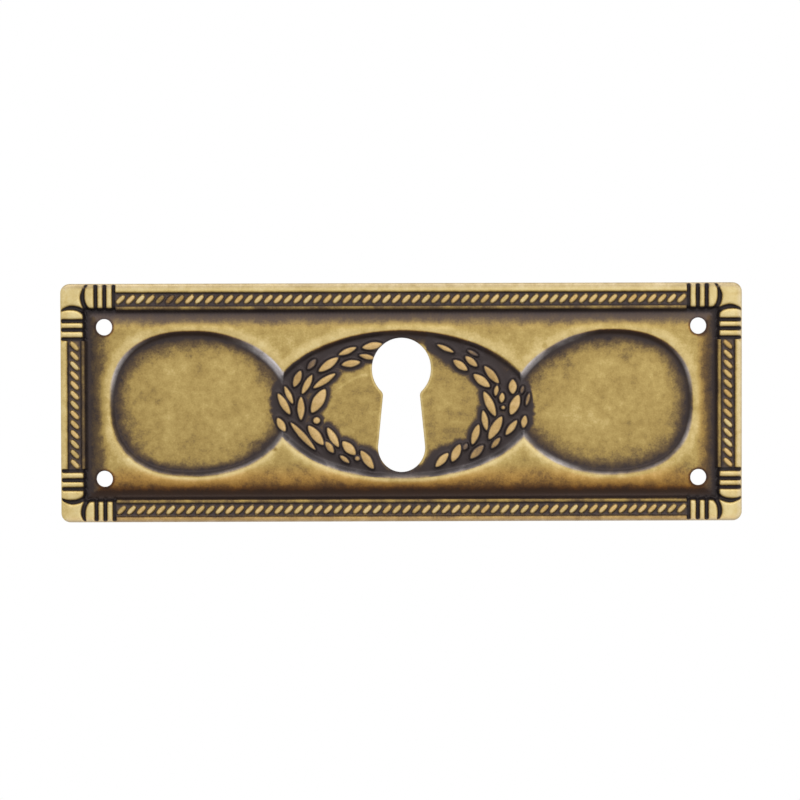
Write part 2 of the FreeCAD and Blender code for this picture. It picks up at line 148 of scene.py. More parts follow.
# Leaves of the wreath, as measured on the photograph: centre across and up, heading in
# degrees anticlockwise from +X, length, width, and how brightly the top is worn
LEAVES = (
    (-3.54, 7.26, 10, 2.71, 1.03, 1.0), (-4.20, 5.85, -12, 2.20, 0.71, 0.8),
    (-6.76, 6.59, 23, 2.58, 0.78, 1.0), (-6.32, 4.99, 8, 2.52, 0.97, 0.95),
    (-9.21, 4.87, 35, 3.23, 1.10, 1.0), (-9.77, 2.75, 33, 3.49, 0.90, 1.0),
    (-11.38, 4.92, 50, 1.68, 0.78, 0.2), (-11.99, 2.31, 62, 2.84, 0.90, 1.0),
    (-13.24, 3.04, 67, 2.33, 1.03, 0.85), (-10.53, 0.17, 60, 3.62, 1.55, 1.0),
    (-12.79, -0.80, 90, 3.10, 1.03, 1.0), (-14.37, 0.94, 115, 2.58, 0.78, 1.0),
    (-14.99, -0.22, 120, 3.23, 1.03, 1.0), (-15.35, -2.89, 120, 2.07, 1.03, 1.0),
    (-12.55, -4.39, 132, 4.91, 0.90, 0.85), (-10.88, -4.29, 128, 3.23, 1.29, 1.0),
    (-10.76, -2.36, 0, 0.90, 0.90, 1.0), (-8.66, -4.56, 120, 2.97, 1.03, 1.0),
    (-9.10, -5.84, 125, 1.81, 0.90, 0.7), (-6.60, -5.96, 135, 2.46, 1.29, 1.0),
    (-7.16, -7.40, 142, 1.55, 0.65, 0.7), (-5.52, -7.29, 0, 0.65, 0.65, 0.6),
    (-4.26, -7.46, 125, 2.97, 1.16, 1.0), (5.88, 6.91, 155, 2.46, 0.65, 1.0),
    (9.43, 6.31, 152, 1.55, 0.52, 0.25), (9.23, 5.23, 140, 2.07, 0.90, 0.85),
    (7.82, 4.73, 144, 2.33, 1.03, 1.0), (11.85, 3.50, 130, 2.97, 1.03, 0.8),
    (10.57, 2.73, 142, 2.71, 1.16, 1.0), (14.59, 1.95, 90, 1.94, 1.16, 1.0),
    (12.47, 1.43, 80, 1.42, 0.65, 0.8), (13.19, 0.52, 85, 1.29, 0.78, 0.9),
    (14.85, -0.40, 68, 2.84, 1.29, 1.0), (16.54, 0.30, 75, 1.68, 0.52, 0.4),
    (15.82, 1.54, 75, 1.03, 0.52, 0.3), (11.60, -0.28, 115, 3.62, 1.16, 0.9),
    (10.98, -2.42, 100, 2.71, 0.90, 1.0), (12.34, -3.39, 60, 3.49, 1.29, 1.0),
    (13.35, -0.76, 0, 0.52, 0.52, 0.7), (14.41, -3.36, 52, 2.46, 0.90, 1.0),
    (16.07, -2.61, 80, 1.68, 0.90, 1.0), (12.37, -5.34, 50, 1.81, 0.78, 0.7),
    (9.76, -4.23, 72, 2.84, 1.03, 1.0), (9.95, -6.49, 45, 2.46, 1.03, 0.45),
    (7.24, -6.62, 65, 2.58, 1.16, 1.0), (5.43, -7.52, 47, 2.46, 1.03, 1.0),
    (8.45, -5.80, 60, 0.90, 0.65, 0.15),
)
# The whole wreath is moved by this, which lines its leaves up with the photograph's
WREATH_SHIFT = (-0.21, 0.04)
LEAF_TOP_SHARE = 0.96
LEAF_POINT = 0.03
LEAF_FULLNESS = 1.62
BERRY_FULLNESS = 2.0

# Each leaf stands on a low bed that spreads round it
WREATH_BED = 0.12
WREATH_SPREAD = 0.55
LEAF_LEVEL = 1.52
LEAF_SIDE = (0.24, -0.03)
LEAF_CROWN = 0.06
LEAF_CROWN_RUN = (0.0, -0.45)


# Shapes

def ease(start, end, where):
    """A smooth step from 0 at start to 1 at end."""
    share = np.clip((where - start) / (end - start), 0.0, 1.0)
    return share * share * (3.0 - 2.0 * share)


def between(ranges, where):
    """1 between two places, with each side eased over its own range."""
    return ease(*ranges[0], where) * ease(*ranges[1], where)


def bump_at(middle, half_width, where):
    """A smooth bump, 1 at its middle."""
    return np.exp(-((where - middle) / half_width) ** 2)


def read_off(table, where):
    """The second column of a table at places in its first column."""
    places, values = zip(*table)
    return np.interp(where, places, values)


def of_half(values, place):
    """The first of two values below or left of the middle, and the second beyond it."""
    return np.where(place < 0.0, *values)


def edge_insets(x, z):
    """The distances in from the plate's ends and from its top and bottom."""
    return HALF_WIDTH - np.abs(x), HALF_HEIGHT - np.abs(z)


def rounded_inset(x, z):
    """The distance in from the plate's outline, which has rounded corners."""
    across, up = edge_insets(x, z)
    inset = np.minimum(across, up)
    in_corner = (across < CORNER_RADIUS) & (up < CORNER_RADIUS)
    round_part = CORNER_RADIUS - np.hypot(CORNER_RADIUS - across, CORNER_RADIUS - up)
    return np.where(in_corner, round_part, inset)


def oval_distance(x, z, centre, half_width, power, half_height=OVAL_HALF_HEIGHT):
    """The distance out of an oval, true near its edge and negative inside."""
    across = np.abs(x - centre) / half_width + 1e-6
    up = np.abs(z) / half_height + 1e-6
    size = (across ** power + up ** power) ** (1.0 / power)
    slope_x = (across / size) ** (power - 1.0) / half_width
    slope_z = (up / size) ** (power - 1.0) / half_height
    return (size - 1.0) / np.hypot(slope_x, slope_z)


def side_oval_distance(x, z, side):
    """The distance out of the left oval, side -1, or the right one, side 1."""
    z = z + LEFT_OVAL_DROP * (side < 0)
    fullness = of_half(LEFT_OVAL_INNER_FULLNESS if side < 0 else RIGHT_OVAL_INNER_FULLNESS, z)
    centre = side * SIDE_OVAL_CENTRE
    inner = oval_distance(x, z, centre, SIDE_OVAL_INNER, fullness)
    outer = oval_distance(x, z, centre, SIDE_OVAL_OUTER, SIDE_OVAL_FULLNESS)
    return np.where(x * side > SIDE_OVAL_CENTRE, outer, inner)


def centre_oval_distance(x, z):
    """The distance out of the centre oval, whose lower right quarter is a little wider."""
    half_height = of_half(CENTRE_OVAL_HALF_HEIGHTS, z)
    fullness = of_half(CENTRE_OVAL_FULLNESS, z)
    gain = CENTRE_OVAL_RIGHT_FOOT_GAIN * ease(*CENTRE_OVAL_FOOT, z) * (x > 0.0)
    return oval_distance(x, z, 0.0, CENTRE_OVAL_HALF_WIDTH + gain, fullness, half_height)


# The ovals by their side: where each one's centre is across, and the distance out of it
OVALS = {
    0: (0.0, centre_oval_distance),
    -1: (-SIDE_OVAL_CENTRE, lambda x, z: side_oval_distance(x, z, -1)),
    1: (SIDE_OVAL_CENTRE, lambda x, z: side_oval_distance(x, z, 1)),
}


def sunk_distance(x, z):
    """The distance out of the nearest of the three ovals."""
    return np.minimum.reduce([distance(x, z) for _, distance in OVALS.values()])


def keyhole_distance(x, z):
    """The distance out of the keyhole, whose head blends into its flared shank."""
    head = np.hypot(x * HEAD_NARROWING, (z - HEAD_CENTRE) / HEAD_NARROWING) - HEAD_RADIUS
    flare = (FOOT_RADIUS - NECK_HALF_WIDTH) / (NECK_Z - FOOT_CENTRE)
    half_width = NECK_HALF_WIDTH + (NECK_Z - z) * flare
    sides = (np.abs(x) - half_width) * math.cos(math.atan(flare))
    foot = np.hypot(x, (z - FOOT_CENTRE) / FOOT_STRETCH) - FOOT_RADIUS
    shank = np.where(z < FOOT_CENTRE, foot, np.maximum(sides, z - HEAD_CENTRE))
    share = np.clip(0.5 + 0.5 * (shank - head) / NECK_BLEND, 0.0, 1.0)
    return shank + (head - shank) * share - NECK_BLEND * share * (1.0 - share)


def pin_distance(x, z):
    """The distance out of the nearest pin hole."""
    across, up = edge_insets(x, z)
    return np.hypot(across - PIN_INSET, up - PIN_INSET) - PIN_RADIUS


def hole_distance(x, z):
    """The distance out of the nearest hole."""
    return np.minimum(keyhole_distance(x, z), pin_distance(x, z))


def leaf_at(x, z):
    """The distance out of the nearest leaf's worn top, and that leaf's brightness."""
    nearest = np.full(np.shape(x), np.inf)
    brightness = np.ones(np.shape(x))
    for across, up, heading, length, width, shine in LEAVES:
        across += WREATH_SHIFT[0]
        up += WREATH_SHIFT[1]
        close = (np.abs(x - across) < length) & (np.abs(z - up) < length)
        turn = math.radians(heading)
        offset_x = x[close] - across
        offset_z = z[close] - up
        along = offset_x * math.cos(turn) + offset_z * math.sin(turn)
        aside = offset_z * math.cos(turn) - offset_x * math.sin(turn)
        fullness = LEAF_FULLNESS if length > width else BERRY_FULLNESS
        half_length = LEAF_TOP_SHARE * length / 2 + LEAF_POINT
        half_width = LEAF_TOP_SHARE * width / 2
        distance = oval_distance(along, aside, 0.0, half_length, fullness, half_width)
        nearer = distance < nearest[close]
        brightness[close] = np.where(nearer, shine, brightness[close])
        nearest[close] = np.where(nearer, distance, nearest[close])
    return nearest, brightness


# Strands are numbered from 0 along the top, and from 90 on for each strip after it: the
# bottom, the right and the left. More are drawn than there are.
STRIP_NUMBERS = 90
DRAWN_STRANDS = 400


def strand_at(x, z):
    """The distance out of the nearest rope strand's worn top, and the strand's number."""
    across, up = edge_insets(x, z)
    on_long_side = up < across
    # Seen along each strip, the long sides' strands lean one way and the ends' the other
    along = np.where(on_long_side, x, z)
    outward = np.where(on_long_side, z, x)
    depth = np.where(on_long_side, HALF_HEIGHT, HALF_WIDTH) - ROPE_INSET
    side = np.sign(outward)
    aside = (np.abs(outward) - depth) * side
    lean = np.where(on_long_side, 1.0, -1.0)
    run = np.where(on_long_side, HALF_WIDTH, HALF_HEIGHT) - ROPE_REACH
    count = np.where(on_long_side, LONG_STRANDS, SHORT_STRANDS)
    pitch = 2.0 * run / count
    phase = (along - lean * aside / math.tan(STRAND_LEAN) + run) / pitch - 0.5
    number = np.clip(np.round(phase), 0, count - 1)
    step = along - ((number + 0.5) * pitch - run)
    direction_along = math.cos(STRAND_LEAN) * lean
    direction_aside = math.sin(STRAND_LEAN)
    length = step * direction_along + aside * direction_aside
    width = aside * direction_along - step * direction_aside
    distance = oval_distance(
        length, width, 0.0, STRAND_HALF_LENGTH, STRAND_FULLNESS, STRAND_HALF_WIDTH)
    strip = np.where(on_long_side, 0, 2) + np.where(side > 0, 0, 1)
    return distance, (number + strip * STRIP_NUMBERS).astype(int)


def corner_grooves(x, z):
    """How much of a groove's depth there is between the bands at the corners, 0 to 1."""
    across, up = edge_insets(x, z)
    inset = np.minimum(across, up)
    reach = np.maximum(across, up)
    depth = np.zeros(np.shape(x))
    for groove in GROOVE_REACHES:
        depth = np.maximum(depth, bump_at(groove, GROOVE_HALF_WIDTH, reach))
    narrow, wide = LOBE_GROOVE_HALF_WIDTHS
    lobe_reach, lobe_inset = LOBE_CENTRE
    for run, drop in ((reach, inset), (inset, reach)):
        radius = np.hypot(run - lobe_reach, drop - lobe_inset)
        half_width = narrow + (wide - narrow) * ease(*LOBE_GROOVE_WIDENING, drop)
        arc = bump_at(LOBE_RADIUS, half_width, radius)
        depth = np.maximum(depth, np.where(run < lobe_reach, arc, 0.0))
    return depth * ease(*GROOVE_INNER_END, inset)


class Places:
    """Points over the front, and how they lie to the border, the ovals and the rest."""

    def __init__(self, x, z):
        pressed_z = z + PRESSING_DROP
        self.x = x
        self.z = z
        self.across, self.up = edge_insets(x, pressed_z)
        self.inset = np.minimum(self.across, self.up)
        self.outline = rounded_inset(x, z)
        self.sunk = sunk_distance(x, z)
        self.keyhole = keyhole_distance(x, z)
        self.pin = pin_distance(x, z)
        self.leaf, self.leaf_shine = leaf_at(x, z)
        self.strand, self.strand_number = strand_at(x, pressed_z)
        self.groove = corner_grooves(x, pressed_z) * ease(*GROOVE_OUTER_END, self.outline)
        self.in_border = ease(*BORDER_END, self.inset)
        self.in_rope = ease(*ROPE_START, np.maximum(self.across, self.up))
        self.in_trough = between(TROUGH_SIDES, self.inset)
        long_side = np.where(z > 0.0, TOP, BOTTOM)
        self.side = np.where(self.up < self.across, long_side, np.where(x > 0.0, RIGHT, LEFT))
        self.at_top = self.side == TOP
        self.at_bottom = self.side == BOTTOM

    def per_side(self, values):
        """The value for the side of the plate that each point is on."""
        return np.take(values, self.side)


def border_level(at):
    """The level of the border, with its rope and its corner bands."""
    rolled = np.clip(EDGE_ROLL - at.outline, 0.0, EDGE_ROLL)
    edge = BORDER_LEVEL - EDGE_ROLL + np.sqrt(EDGE_ROLL ** 2 - rolled ** 2)
    strand_rise = (STRAND_LEVEL - TROUGH_LEVEL) * ease(*STRAND_SIDE, at.strand)
    strands = (TROUGH_LEVEL + strand_rise) * at.in_trough
    rope = np.maximum(read_off(ROPE_SECTION, at.inset), strands)
    bands = read_off(BAND_SECTION, at.inset) - GROOVE_DEPTH * at.groove
    return np.minimum(bands + (rope - bands) * at.in_rope, edge)


def field_level(at):
    """The level of the cushion, the sunk ovals and the wreath."""
    cushion = FIELD_LEVEL + (CUSHION_LEVEL - FIELD_LEVEL) * ease(*CUSHION_SLOPE, at.inset)
    cushion = cushion - RIM_DIP * ease(*RIM_DIP_RUN, at.sunk)
    floor = FIELD_LEVEL + FLOOR_CROWN * ease(*FLOOR_CROWN_RUN, at.sunk)
    level = floor + (cushion - floor) * ease(*OVAL_WALL, at.sunk)
    bed_level = FIELD_LEVEL + WREATH_BED
    wreath = FIELD_LEVEL + WREATH_BED * ease(WREATH_SPREAD, LEAF_SIDE[0], at.leaf)
    wreath = wreath + (LEAF_LEVEL - bed_level) * ease(*LEAF_SIDE, at.leaf)
    wreath = wreath + LEAF_CROWN * ease(*LEAF_CROWN_RUN, at.leaf)
    return np.where(at.leaf < WREATH_SPREAD, np.maximum(level, wreath), level)


def front_level(at):
    """The front's level, with the rolled edges of the keyhole and the pin holes."""
    in_field = at.inset >= BORDER_END[0]
    level = np.where(in_field, field_level(at), np.maximum(border_level(at), FIELD_LEVEL))
    for distance, roll in ((at.keyhole, KEYHOLE_ROLL), (at.pin, PIN_ROLL)):
        short = np.clip(roll - distance, 0.0, roll)
        level = level - (roll - np.sqrt(roll ** 2 - short ** 2))
    return level


# Finish of the border. The outer fillet runs along the edge and the thin one inside the
# rope, and the roll is where the border turns over the plate's edge.

draw = np.random.default_rng(7)
STRAND_SHINE = draw.uniform(0.80, 1.0, DRAWN_STRANDS)
STRAND_WARMTH = draw.uniform(0.05, 0.36, DRAWN_STRANDS)
# Three strands near the top left corner are smudged
STRAND_SHINE[4:7] = (0.50, 0.45, 0.60)
STRAND_WEAR = 0.98
STRAND_TOP = (0.15, -0.17)

# The outer fillet is worn bright; painted shade darkens it along the bottom, which faces down
OUTER_FILLET_WEAR_AND_SHADE = (0.92, 0.62, 0.92, 0.92)
OUTER_FILLET_END = (1.13, 1.30, 1.13, 1.13)
OUTER_FILLET_FULL = 0.60
END_DULLING = (0.0, 0.0, 0.09, 0.05)
END_DULLING_INSETS = (1.2, 0.7)
THIN_FILLET_WEAR = 0.44
THIN_FILLET_RIPPLE = 0.07
THIN_FILLET_RATES = (1.3, 0.37)
THIN_FILLET_SHARE = (0.90, 1.00, 0.74, 1.10)
THIN_FILLET_SIDES = ((2.52, 2.82), (3.30, 3.00))
TROUGH_WEAR = (0.13, 0.13, 0.18, 0.18)
TROUGH_HAZE = 0.50
STRAND_HAZE_LOSS = 0.75
BAND_WEAR = 0.92
BAND_END = (3.02, 2.74)
GROOVE_DARKNESS = (0.05, 0.62)

# Inside the thin fillet is a crease, which is lighter than the slope but for the left and
# middle of the bottom, where it is dark and warm
CREASE_WEAR = 0.09
CREASE_START = (3.0, 3.3)
LIGHT_CREASE_AT_BOTTOM = (12.0, 22.0)
CREASE_WARMTH_LOSS = 0.6
CREASE_WARMTH_START = (3.1, 3.45)

# Painted shade darkens the top roll, against the lamp's highlight on it
TOP_ROLL_SHADE = 0.22
TOP_ROLL_SHADE_RANGE = (0.75, 0.25)
BOTTOM_ROLL_WEAR = 0.16
BOTTOM_ROLL_PALENESS = 0.25
BOTTOM_ROLL = (0.35, 0.05)
EDGE_PALENESS = (0.20, 0.08, 0.0, 0.18)
EDGE_PALENESS_INSETS = (0.80, 0.30)
BOTTOM_EDGE_WARMTH = 0.30
BOTTOM_EDGE = (1.1, 0.7)


def border_finish(at):
    """The border's finish: worn, warm, hazy and silvery, with painted shade on the top roll and
    bottom fillet.
    """
    strand_top = ease(*STRAND_TOP, at.strand) * at.in_trough
    light_crease = np.where(at.at_bottom, ease(*LIGHT_CREASE_AT_BOTTOM, at.x), 1.0)
    bottom_roll = at.at_bottom * ease(*BOTTOM_ROLL, at.outline)

    outer_fillet = ease(at.per_side(OUTER_FILLET_END), OUTER_FILLET_FULL, at.inset)
    rate, slow_rate = THIN_FILLET_RATES
    ripple = np.sin(at.x * rate) * np.sin(at.z + at.x * slow_rate)
    thin_fillet = THIN_FILLET_WEAR + THIN_FILLET_RIPPLE * ripple
    thin_fillet = thin_fillet * at.per_side(THIN_FILLET_SHARE)
    # The bottom fillet is darker by painted shade
    rope = at.per_side(OUTER_FILLET_WEAR_AND_SHADE) * outer_fillet
    rope = rope + thin_fillet * between(THIN_FILLET_SIDES, at.inset)
    rope = rope + CREASE_WEAR * light_crease * ease(*CREASE_START, at.inset)
    rope = rope + at.per_side(TROUGH_WEAR) * at.in_trough
    rope = rope + (STRAND_WEAR * STRAND_SHINE[at.strand_number] - rope) * strand_top
    bands = BAND_WEAR * ease(*BAND_END, at.inset)
    bands = bands * (1.0 - ease(*GROOVE_DARKNESS, at.groove))
    wear_and_shade = bands + (rope - bands) * at.in_rope
    # Painted shade on the top roll
    wear_and_shade = wear_and_shade * (1.0 - TOP_ROLL_SHADE * at.at_top * ease(*TOP_ROLL_SHADE_RANGE, at.outline))
    wear_and_shade = wear_and_shade * (1.0 - at.per_side(END_DULLING) * ease(*END_DULLING_INSETS, at.inset))
    wear_and_shade = wear_and_shade + BOTTOM_ROLL_WEAR * bottom_roll

    warm = strand_top * at.in_rope * STRAND_WARMTH[at.strand_number]
    bottom_edge = at.at_bottom * ease(*BOTTOM_EDGE, at.inset)
    warm = warm + BOTTOM_EDGE_WARMTH * bottom_edge * (1.0 + at.in_rope) / 2.0
    crease_warmth = (1.0 - CREASE_WARMTH_LOSS * light_crease) * ease(*CREASE_WARMTH_START, at.inset)
    warm = warm + at.at_bottom * crease_warmth

    haze = TROUGH_HAZE * at.in_trough * at.in_rope * (1.0 - STRAND_HAZE_LOSS * strand_top)

    glint = at.per_side(EDGE_PALENESS) * ease(*EDGE_PALENESS_INSETS, at.outline)
    glint = (glint + BOTTOM_ROLL_PALENESS * bottom_roll) * (1.0 - at.groove)
    return wear_and_shade, warm, haze, glint


# Finish of the cushion and of the slope round it

# Wear by the inset on each side: the cove's patina, and painted shade on the bottom slope
SLOPE_INSETS = (3.5, 3.9, 4.3, 4.7, 5.1, 5.5, 5.9, 6.6)
SLOPE_WEAR_AND_SHADE = {
    TOP: (0.12, 0.25, 0.33, 0.40, 0.48, 0.56, 0.61, 0.64),
    BOTTOM: (0.04, 0.07, 0.16, 0.30, 0.42, 0.48, 0.51, 0.55),
    LEFT: (0.12, 0.17, 0.24, 0.30, 0.34, 0.40, 0.50, 0.62),
    RIGHT: (0.14, 0.18, 0.27, 0.39, 0.45, 0.53, 0.61, 0.63),
}
CORNER_BLEND = (-0.6, 0.6)
CUSHION_WEAR = ((-8.0, 0.55), (8.0, 0.66))

# Towards its ends the bottom slope is lighter, over more of its width on the left
LIGHT_END_GAIN = 0.07
LIGHT_END_START = (16.0, 26.0)
LIGHT_END_INSETS = (4.1, 4.7)
LIGHT_END_LIMITS = (6.4, 5.5)
LIGHT_END_FADE = 0.7

# The cushion is brighter along the ovals' rims, and more so at their feet
RIM_GAIN = 0.20
RIM_WIDTH = (1.8, 0.7)
RIM_INSETS = (4.0, 5.6)
FOOT_RIM_GAIN = 0.15
FOOT_RIM_WIDTH = (0.85, 0.35)
FOOT_RIM_END = (30.0, 14.0)

# Painted brown shade on the bottom slope, which faces down, by the inset, and the brown
# warmth of the right slope
BOTTOM_SLOPE_SHADE = (
    (3.20, 0.00), (3.45, 1.00), (4.40, 1.00), (5.00, 0.58), (6.00, 0.44), (7.80, 0.00),
)
BOTTOM_SLOPE_SHADE_WIDTH = (0.15, 0.75)
BOTTOM_SLOPE_SHADE_ENDS = (-2.0, 1.5)
RIGHT_WARMTH = 0.22
RIGHT_WARMTH_SIDES = ((3.8, 4.2), (6.0, 5.0))
TOP_HAZE = 0.75
TOP_HAZE_SIDES = ((3.5, 3.7), (5.5, 3.9))


def cushion_wear_and_shade(at):
    """How worn the cushion and the slope round it are, with painted shade on the bottom slope."""
    slopes = {side: np.interp(at.inset, SLOPE_INSETS, wear_and_shade) for side, wear_and_shade in SLOPE_WEAR_AND_SHADE.items()}
    from_left = np.interp(at.x, (-HALF_WIDTH, HALF_WIDTH), (0.0, 1.0))
    ends = slopes[LEFT] + (slopes[RIGHT] - slopes[LEFT]) * from_left
    long_sides = np.where(at.z > 0.0, slopes[TOP], slopes[BOTTOM])
    wear_and_shade = long_sides + (ends - long_sides) * ease(*CORNER_BLEND, at.up - at.across)
    wear_and_shade = np.where(at.inset > SLOPE_INSETS[-1], read_off(CUSHION_WEAR, at.z), wear_and_shade)
    limit = of_half(LIGHT_END_LIMITS, at.x)
    light = ease(*LIGHT_END_INSETS, at.inset) * ease(limit, limit - LIGHT_END_FADE, at.inset)
    light = light * at.at_bottom * ease(*LIGHT_END_START, np.abs(at.x))
    wear_and_shade = wear_and_shade + LIGHT_END_GAIN * light
    wear_and_shade = wear_and_shade + RIM_GAIN * ease(*RIM_WIDTH, at.sunk) * ease(*RIM_INSETS, at.inset)
    foot = at.at_bottom * ease(*FOOT_RIM_WIDTH, at.sunk) * ease(*FOOT_RIM_END, at.x)
    return wear_and_shade + FOOT_RIM_GAIN * foot


def cushion_warmth_and_shade(at):
    """How warm the right slope is, and the bottom slope's painted brown shade."""
    bottom_shade = read_off(BOTTOM_SLOPE_SHADE, at.inset) * ease(*BOTTOM_SLOPE_SHADE_WIDTH, at.sunk)
    bottom_shade = bottom_shade * at.at_bottom * ease(*BOTTOM_SLOPE_SHADE_ENDS, at.across - at.up)
    right = RIGHT_WARMTH * (at.side == RIGHT) * between(RIGHT_WARMTH_SIDES, at.inset)
    return bottom_shade + right


# Finish of the ovals: over the rim, wall and floor, by the distance out of the edge
OVAL_WEAR = (
    (-7.00, 0.64), (-3.85, 0.61), (-2.85, 0.54), (-2.25, 0.46), (-1.80, 0.39), (-1.40, 0.30),
    (-1.05, 0.21), (-0.75, 0.15), (-0.47, 0.14), (-0.22, 0.20), (0.00, 0.44), (0.20, 0.72),
)
RIM_BLEND = (-0.05, 0.25)

# The left oval's patina ends sooner at its foot
LEFT_FOOT = (-5.0, -8.0)
LEFT_FOOT_FROM = -0.8

# Painted shade: the walls under the ovals' tops, which face down, are painted darker and brown
OVERHEAD_SHADE_HEIGHT = (4.0, 8.5)
OVERHEAD_SHADE_SIDES = ((0.1, -0.1), (-1.5, -0.5))
OVERHEAD_SHADE_DARKNESS = 0.40
OVERHEAD_SHADE_BROWN = 0.8
OVERHEAD_SHADE_BROWN_START = (-0.9, -0.3)

# Painted glints, silvery reflections painted on an oval's wall: which oval, left, centre or
# right, the angle round it and the spread in degrees, how strongly, and how far in
GLINTS = (
    (-1, 150, 20, 0.55, 0.6), (-1, 34, 19, 1.00, 0.90), (-1, 300, 20, 0.20, 0.5),
    (-1, 330, 18, 0.25, 0.7), (-1, 236, 22, 0.10, 0.5), (0, 205, 18, 0.28, 1.0),
    (0, 238, 20, 0.28, 0.9), (0, 270, 16, 0.14, 0.7), (0, 302, 20, 0.28, 0.9),
    (0, 335, 18, 0.28, 1.0), (1, 118, 12, 0.28, 0.8), (1, 147, 15, 0.80, 0.8),
    (1, 203, 14, 0.42, 0.7), (1, 236, 16, 0.60, 0.65), (1, 268, 16, 0.20, 0.5),
    (1, 300, 18, 0.16, 0.5), (1, 330, 16, 0.36, 0.5), (1, 28, 16, 0.32, 0.5),
)
GLINT_INNER_SHARE = 0.35
GLINT_OUTER_END = (0.22, 0.0)
OWN_OVAL = (0.35, 0.05)


def overhead_shade_at(at):
    """How much painted shade falls on the wall under an oval's top, 0 to 1."""
    return ease(*OVERHEAD_SHADE_HEIGHT, at.z) * between(OVERHEAD_SHADE_SIDES, at.sunk)


def oval_wear_and_shade(at):
    """How worn the ovals' rims, walls and floors are, with painted shade under their tops."""
    at_foot = ease(*LEFT_FOOT, at.z) * (at.x < -CENTRE_OVAL_HALF_WIDTH)
    shift = at_foot * np.minimum(at.sunk - LEFT_FOOT_FROM, 0.0)
    wear_and_shade = read_off(OVAL_WEAR, at.sunk + shift)
    return wear_and_shade * (1.0 - OVERHEAD_SHADE_DARKNESS * overhead_shade_at(at))


def glint_at(at):
    """How strongly a silvery glint is painted on an oval's wall, 0 to 1."""
    glint = np.zeros(np.shape(at.x))
    away_from = {oval: distance(at.x, at.z) for oval, (_, distance) in OVALS.items()}
    for oval, angle, spread, strength, run in GLINTS:
        half_width = SIDE_OVAL_INNER if oval else CENTRE_OVAL_HALF_WIDTH
        offset = (at.x - OVALS[oval][0]) / half_width
        around = np.degrees(np.arctan2(at.z / OVAL_HALF_HEIGHT, offset))
        turn = (around - angle + 180.0) % 360.0 - 180.0
        own = ease(*OWN_OVAL, away_from[oval] - at.sunk)
        depth = ease(-run, -GLINT_INNER_SHARE * run, at.sunk)
        glint = np.maximum(glint, own * strength * bump_at(0.0, spread, turn) * depth)
    return glint * ease(*GLINT_OUTER_END, at.sunk)


# Marks. A faint bright scratch curves down to the left on the centre oval's floor, and
# the small darker spots are given by place across and up, size and strength.
SCRATCH_END = (-4.1, 3.62)
SCRATCH_SLOPE = 0.096
SCRATCH_CURVE = 0.087
SCRATCH_ENDS = ((-0.2, 0.5), (4.6, 3.8))
SCRATCH_WIDTH = (0.36, 0.06)
SCRATCH_GAIN = 0.13
SPOTS = (
    (28.75, 5.58, 0.42, 0.14), (29.45, -2.82, 0.40, 0.17), (26.85, 8.20, 0.30, 0.12),
    (25.70, 0.70, 0.45, 0.09), (32.90, 3.40, 0.45, 0.10), (28.40, -1.10, 0.50, 0.07),
    (-16.35, -6.05, 0.26, 0.45), (14.30, -6.15, 0.20, 0.15), (18.45, 7.30, 0.40, 0.16),
    (-25.60, 4.60, 0.60, 0.07), (-30.90, -3.10, 0.50, 0.07), (-2.60, 9.90, 0.30, 0.06),
)


def marks(x, z):
    """How much brighter or darker the scratch and spots make the finish."""
    end_x, end_z = SCRATCH_END
    along = end_x - x
    away = np.abs(z - end_z + SCRATCH_SLOPE * along + SCRATCH_CURVE * along ** 2)
    change = SCRATCH_GAIN * ease(*SCRATCH_WIDTH, away) * between(SCRATCH_ENDS, along)
    for across, up, size, strength in SPOTS:
        change = change - strength * bump_at(0.0, size, np.hypot(x - across, z - up))
    return change


# Finish of the wreath, the centre oval's floor and the holes' edges. Dark patina lies
# close round the leaves, and further out between them and the oval's wall.
IN_CENTRE = (0.1, -0.1)
CENTRE_FLOOR_DULLING = (0.05, 0.08)
CENTRE_FLOOR = (-1.0, -2.0)
KEYHOLE_RIM_WEAR = 0.84
KEYHOLE_RIM = (0.50, 0.15)
KEYHOLE_RIM_DEPTH = (-1.2, -2.0)
LEAF_TOP = (0.07, -0.15)
LEAF_WEAR = 0.28
LEAF_SHINE = 0.48
LEAF_WARMTH = 0.32
LEAF_GLINT = 0.08
SHADE_WIDTH = (0.80, 0.28)
WIDE_SHADE_WIDTH = (1.5, 0.8)
WIDE_SHADE_DEPTH = (-4.4, -3.2)
SHADE_DULLING = 0.90
SHADE_HAZE = 0.26
SHADE_GLINT_LOSS = 0.6
PIN_RING = (0.40, 0.12)
PIN_RING_DULLING = 0.42
PIN_RING_WARMTH = 0.6


